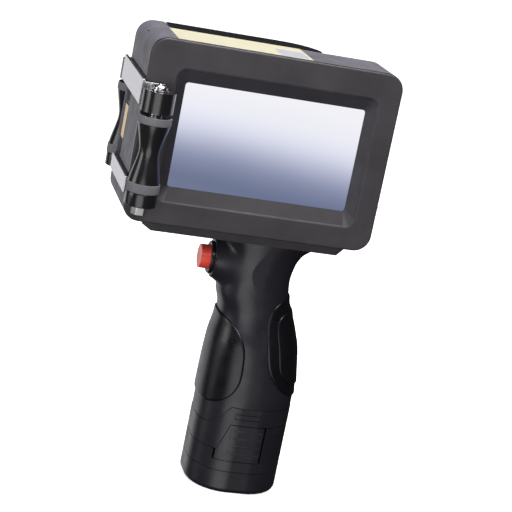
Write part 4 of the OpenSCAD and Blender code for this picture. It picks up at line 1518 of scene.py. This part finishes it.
@dataclass(frozen=True)
class RockerSwitch:
    """The red power rocker, its housing in the wall and its blades."""

    def build(self) -> None:
        """Round the rocker and dress the rest."""
        refine("power_rocker", "red_button", RED_GLOSS, 0.4, 4)
        refine("power_housing", "inner_plastic", INNER_PLASTIC, 0.3, 2)
        refine("power_terminals", "gold_contact", GOLD, 0.15, 2)


# ---- brackets and rollers ----


@dataclass(frozen=True)
class Brackets:
    """The two stainless strips on the printing side, the near-black foam under them that stands as painted
    shadow along their upper edges, and their studs.
    """

    def build(self) -> None:
        """Ease the strips' edges and dress every piece."""
        refine("upper_bracket", "stainless", STAINLESS, 0.3, 3)
        refine("lower_bracket", "stainless", STAINLESS, 0.3, 3)
        # the near-black foam is painted shadow along the strips' upper edges
        refine("bracket_pads", "foam_pad", PAINTED_SHADOW_FOAM, 0.15, 2)
        refine("bracket_studs", "bright_steel", BRIGHT_STEEL, 0.3, 2)


@dataclass(frozen=True)
class GuideRoller:
    """One hourglass roller with its rubber rings, bearings and the block that carries it."""

    side: str
    roller_z: tuple[float, float] = (11.5, 58.2)
    low_ring: tuple[float, float] = (18.6, 23.6)
    high_ring: tuple[float, float] = (53.8, 58.0)
    waist: tuple[float, float] = (38.0, 41.0)
    ring_r: float = 8.55
    waist_r: float = 5.4
    bore_r: float = 4.0
    bearing_t: float = 3.0
    axle_clear_r: float = 2.5

    def taper(
        self, start: tuple[float, float], end: tuple[float, float], steps: int = 14
    ) -> list[tuple[float, float]]:
        """Points from one radius and height to another, along a soft curve."""
        points = []
        for i in range(1, steps):
            t = i / steps
            ease_in = t * 0.72 + 0.28 * (3 * t * t - 2 * t**3)
            points.append((start[0] + (end[0] - start[0]) * ease_in, start[1] + (end[1] - start[1]) * t))
        return points

    def body_profile(self) -> list[tuple[float, float]]:
        """The roller's outline: barrel, ring grooves, hourglass and bored ends."""
        body, groove = self.ring_r - 0.35, self.ring_r - 1.75
        low, high = self.roller_z
        outside = rounded_profile(
            [(self.bore_r, low), (body, low), (body, self.low_ring[0]), (groove, self.low_ring[0])],
            0.5,
            False,
        )
        lower_wall = [(groove, self.low_ring[1]), (body, self.low_ring[1])]
        waist_low, waist_high = (self.waist_r, self.waist[0]), (self.waist_r, self.waist[1])
        upper_wall = [(body, self.high_ring[0]), (groove, self.high_ring[0]), (groove, self.high_ring[1])]
        end = [(body, self.high_ring[1]), (body, high), (self.bore_r, high)]
        bore = [
            (self.bore_r, high - self.bearing_t), (self.axle_clear_r, high - self.bearing_t),
            (self.axle_clear_r, low + self.bearing_t), (self.bore_r, low + self.bearing_t),
        ]
        return [
            *outside, *lower_wall, *self.taper(lower_wall[-1], waist_low), waist_low, waist_high,
            *self.taper(waist_high, upper_wall[0]), *upper_wall, *end, *bore,
        ]

    def ring_profile(self, z: tuple[float, float]) -> list[tuple[float, float]]:
        """A rubber ring's outline, with rounded shoulders."""
        inner, low, high = self.ring_r - 1.75, z[0] + 0.05, z[1] - 0.05
        return rounded_profile([(inner, low), (self.ring_r, low), (self.ring_r, high), (inner, high)], 0.45)

    def build(self, head: Head) -> None:
        """Make the roller and its rings, and dress its bearings and its block.

        Args:
            head: where the head stands.
        """
        low, high = (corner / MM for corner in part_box(f"{self.side}_roller"))
        axis = Vector(((low.x + high.x) / 2, (low.y + high.y) / 2, head.low.z))
        body = f"{self.side}_roller"
        barrel = turned(self.body_profile(), 96, closed=True)
        barrel = barrel.object(f"{self.side}_roller_barrel", axis.__add__)
        Bond(body, "roller_black", GLOSS_BLACK, (body,)).tie(barrel)
        rings = turned(self.ring_profile(self.low_ring), 96, closed=True)
        rings.add(turned(self.ring_profile(self.high_ring), 96, closed=True))
        rings_obj = rings.object(f"{self.side}_roller_rings", axis.__add__)
        Bond(body, "tyre_rubber", TYRE, (f"{body}_tyres",)).tie(rings_obj)
        refine(f"{body}_bearings", "bright_steel", BRIGHT_STEEL, 0.25, 2)
        refine(f"{body}_block", "gloss_black", GLOSS_BLACK, 0.6, 4)


@dataclass(frozen=True)
class Axles:
    """The bolts, nuts and washers of both rollers, and the screws of the bracket's ends."""

    bolt_r: float = 2.0
    bracket_screw: ScrewForm = ScrewForm(2.3, 1.4, 1.2, 5.4)

    def build(self, head: Head) -> None:
        """Make the bolts and dress the nuts and washers.

        Args:
            head: where the head stands.
        """
        low, high = (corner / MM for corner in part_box("axle_bolts"))
        sides = [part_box(f"{side}_roller") for side in ("front", "rear")]
        axes = [((b[0] + b[1]) / 2 / MM) for b in sides]
        seats = tuple(Vector((a.x, a.y, high.z - 2.6)) for a in axes)
        form = ScrewForm(3.6, 2.6, self.bolt_r, high.z - 2.6 - low.z)
        bond = Bond("printer", "bright_steel", BRIGHT_STEEL, ("axle_bolts",))
        ScrewSet(bond, "axle_bolt_set", form, seats, Axis.UP).build()
        refine("axle_nuts", "bright_steel", BRIGHT_STEEL, 0.35, 3)
        refine("axle_washers", "bright_steel", BRIGHT_STEEL, 0.12, 2)
        screw_low, screw_high = (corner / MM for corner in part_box("bracket_screws"))
        x, z = (screw_low.x + screw_high.x) / 2, (screw_low.z + screw_high.z) / 2
        form = self.bracket_screw
        for name, y, way in (
            ("front_bracket_screw", -3.2 + 1.4, Axis.BACK),
            ("rear_bracket_screw", 65.6 - 1.4, Axis.FRONT),
        ):
            seat = Vector((x, head.seat(0, y, 0).y, z))
            nodes = ("bracket_screws",) if way is Axis.BACK else ()
            ScrewSet(Bond("printer", "bright_steel", BRIGHT_STEEL, nodes), name, form, (seat,), way).build()


# ---- studio ----


@dataclass(frozen=True)
class Softbox:
    """A square area light that looks at the object."""

    name: str
    place: tuple[float, float, float]
    size: tuple[float, float]
    power: float
    colour: Colour = (1.0, 1.0, 1.0)
    aim: tuple[float, float, float] = (0.0, 0.0, 0.13)
    in_gloss: bool = True

    def build(self) -> None:
        """Hang the light."""
        light = bpy.data.lights.new(self.name, "AREA")
        light.shape = "RECTANGLE"
        light.size, light.size_y = self.size
        light.energy = self.power
        light.color = self.colour
        obj = bpy.data.objects.new(self.name, light)
        obj.location = self.place
        obj.visible_glossy = self.in_gloss
        obj.rotation_mode = "QUATERNION"
        obj.rotation_quaternion = (Vector(self.aim) - Vector(self.place)).to_track_quat("-Z", "Y")
        bpy.context.scene.collection.objects.link(obj)


@dataclass(frozen=True)
class Glow:
    """A soft bright patch of the surroundings, seen in the gloss and felt as fill light."""

    azimuth_deg: float
    elevation_deg: float
    core_deg: float
    edge_deg: float
    level: float

    def direction(self) -> Vector:
        """Where the patch lies: azimuth counted from the front towards +X."""
        a, e = math.radians(self.azimuth_deg), math.radians(self.elevation_deg)
        return Vector((math.sin(a) * math.cos(e), -math.cos(a) * math.cos(e), math.sin(e)))

    def strength(self, tree: NodeTree, ray: bpy.types.NodeSocket) -> bpy.types.NodeSocket:
        """How bright the patch is along a ray.

        Args:
            tree: the world's tree.
            ray: the ray's direction.

        Returns:
            The patch's brightness.
        """
        dot = tree.add("ShaderNodeVectorMath", operation="DOT_PRODUCT")
        dot.inputs[1].default_value = self.direction()
        tree.join(ray, dot.inputs[0])
        fade = tree.add("ShaderNodeMapRange", interpolation_type="SMOOTHERSTEP")
        edge, core = math.cos(math.radians(self.edge_deg)), math.cos(math.radians(self.core_deg))
        for name, value in (("From Min", edge), ("From Max", core), ("To Min", 0.0), ("To Max", self.level)):
            fade.inputs[name].default_value = value
        tree.join(dot.outputs["Value"], fade.inputs["Value"])
        return fade.outputs["Result"]


@dataclass(frozen=True)
class Studio:
    """A plain pale floor, surroundings with a few soft bright patches, and soft lights."""

    floor_size: float = 14.0
    floor_colour: Colour = (0.93, 0.93, 0.94)
    floor_glow: float = 0.75
    dim: float = 0.02
    glows: tuple[Glow, ...] = (
        Glow(-16.0, -14.0, 8.0, 32.0, 1.8),
        Glow(-98.0, -10.0, 4.0, 18.0, 0.6),
        Glow(-162.0, -18.0, 12.0, 32.0, 0.72),
        Glow(0.0, 80.0, 15.0, 45.0, 1.6),
    )
    lights: tuple[Softbox, ...] = (
        Softbox("key_light", (0.12, -0.48, 0.62), (0.3, 0.25), 2.2, aim=(0.03, 0.0, 0.2)),
        Softbox("top_light", (0.05, 0.12, 1.3), (0.7, 0.6), 14.0),
        Softbox("left_light", (-1.15, -0.15, 0.45), (0.5, 1.0), 4.0),
        Softbox("button_light", (-0.5, -0.5, 0.2), (0.15, 0.15), 1.3, (1.0, 1.0, 1.0),
                (-0.03, 0.0, 0.125), in_gloss=False),
    )

    def floor(self) -> None:
        """The floor, which shows to the camera and takes shadows, and stays out of the gloss."""
        h = self.floor_size / 2
        mesh = bpy.data.meshes.new("floor")
        mesh.from_pydata([(-h, -h, 0), (h, -h, 0), (h, h, 0), (-h, h, 0)], [], [(0, 1, 2, 3)])
        obj = bpy.data.objects.new("floor", mesh)
        material = bpy.data.materials.new("floor_paper")
        material.use_nodes = True
        tree = NodeTree(material.node_tree)
        shader = material.node_tree.nodes["Principled BSDF"]
        shader.inputs["Base Color"].default_value = (*self.floor_colour, 1)
        shader.inputs["Roughness"].default_value = 0.9
        shader.inputs["Specular IOR Level"].default_value = 0.0
        shader.inputs["Emission Color"].default_value = (1, 1, 1, 1)
        shader.inputs["Emission Strength"].default_value = self.floor_glow
        mesh.materials.append(material)
        obj.visible_glossy = False
        obj.visible_diffuse = False
        obj.visible_shadow = False
        bpy.context.scene.collection.objects.link(obj)

    def world(self) -> None:
        """Surroundings that are pale to look at, and dim with bright patches in the gloss."""
        world = bpy.data.worlds.new("surroundings")
        world.use_nodes = True
        bpy.context.scene.world = world
        tree = NodeTree(world.node_tree)
        seen = world.node_tree.nodes["Background"]
        seen.inputs["Color"].default_value = (0.97, 0.97, 0.975, 1)
        around = tree.add("ShaderNodeBackground")
        around.inputs["Color"].default_value = (0.97, 0.97, 1.0, 1)
        place = tree.add("ShaderNodeTexCoord")
        total = None
        for glow in self.glows:
            added = tree.add("ShaderNodeMath", operation="ADD")
            added.inputs[0].default_value = self.dim
            if total is not None:
                tree.join(total, added.inputs[0])
            tree.join(glow.strength(tree, place.outputs["Generated"]), added.inputs[1])
            total = added.outputs[0]
        tree.join(total, around.inputs["Strength"])
        path = tree.add("ShaderNodeLightPath")
        mix = tree.add("ShaderNodeMixShader")
        tree.join(path.outputs["Is Camera Ray"], mix.inputs[0])
        tree.join(around.outputs[0], mix.inputs[1])
        tree.join(seen.outputs[0], mix.inputs[2])
        tree.join(mix.outputs[0], world.node_tree.nodes["World Output"].inputs["Surface"])

    def build(self) -> None:
        """Lay the floor, and set the surroundings and the lights."""
        self.floor()
        self.world()
        for light in self.lights:
            light.build()
        scene = bpy.context.scene
        scene.view_settings.view_transform = "Standard"
        scene.cycles.use_denoising = True


@dataclass(frozen=True)
class Camera:
    """A long lens a little above the head, to the printing side, rolled anticlockwise."""

    azimuth_deg: float = -14.554
    elevation_deg: float = 14.689
    roll_deg: float = 11.418
    lens_mm: float = 121.17
    place: tuple[float, float, float] = (-0.2351, -0.8739, 0.3657)

    def build(self) -> None:
        """Set the camera up."""
        a, e = math.radians(self.azimuth_deg), math.radians(self.elevation_deg)
        back = Vector((math.sin(a) * math.cos(e), -math.cos(a) * math.cos(e), math.sin(e)))
        camera = bpy.data.cameras.new("camera")
        camera.lens = self.lens_mm
        camera.sensor_width = 36.0
        camera.clip_start, camera.clip_end = 0.05, 50.0
        obj = bpy.data.objects.new("camera", camera)
        obj.location = self.place
        obj.rotation_mode = "QUATERNION"
        roll = Quaternion((0, 0, 1), math.radians(self.roll_deg))
        obj.rotation_quaternion = (-back).to_track_quat("-Z", "Y") @ roll
        bpy.context.scene.collection.objects.link(obj)
        bpy.context.scene.camera = obj


def main() -> None:
    """Build every sub-assembly in order, then the studio."""
    logging.basicConfig(level=logging.INFO, format="%(name)s: %(message)s")
    Camera().build()
    head = Head.read()
    cover = FrontCover(head)
    grip = Grip(GripForm())
    cover.build()
    TouchScreen(cover).build()
    HeadShell(head).build()
    CartridgeBay().build()
    Electronics().build()
    grip.build()
    BatteryPack().build()
    PushButton("trigger", "trigger_press", "trigger", Axis.RIGHT, 6.5).build()
    RockerSwitch().build()
    Brackets().build()
    for side in ("front", "rear"):
        GuideRoller(side).build(head)
    Axles().build(head)
    Studio().build()


if __name__ == "__main__":
    main()
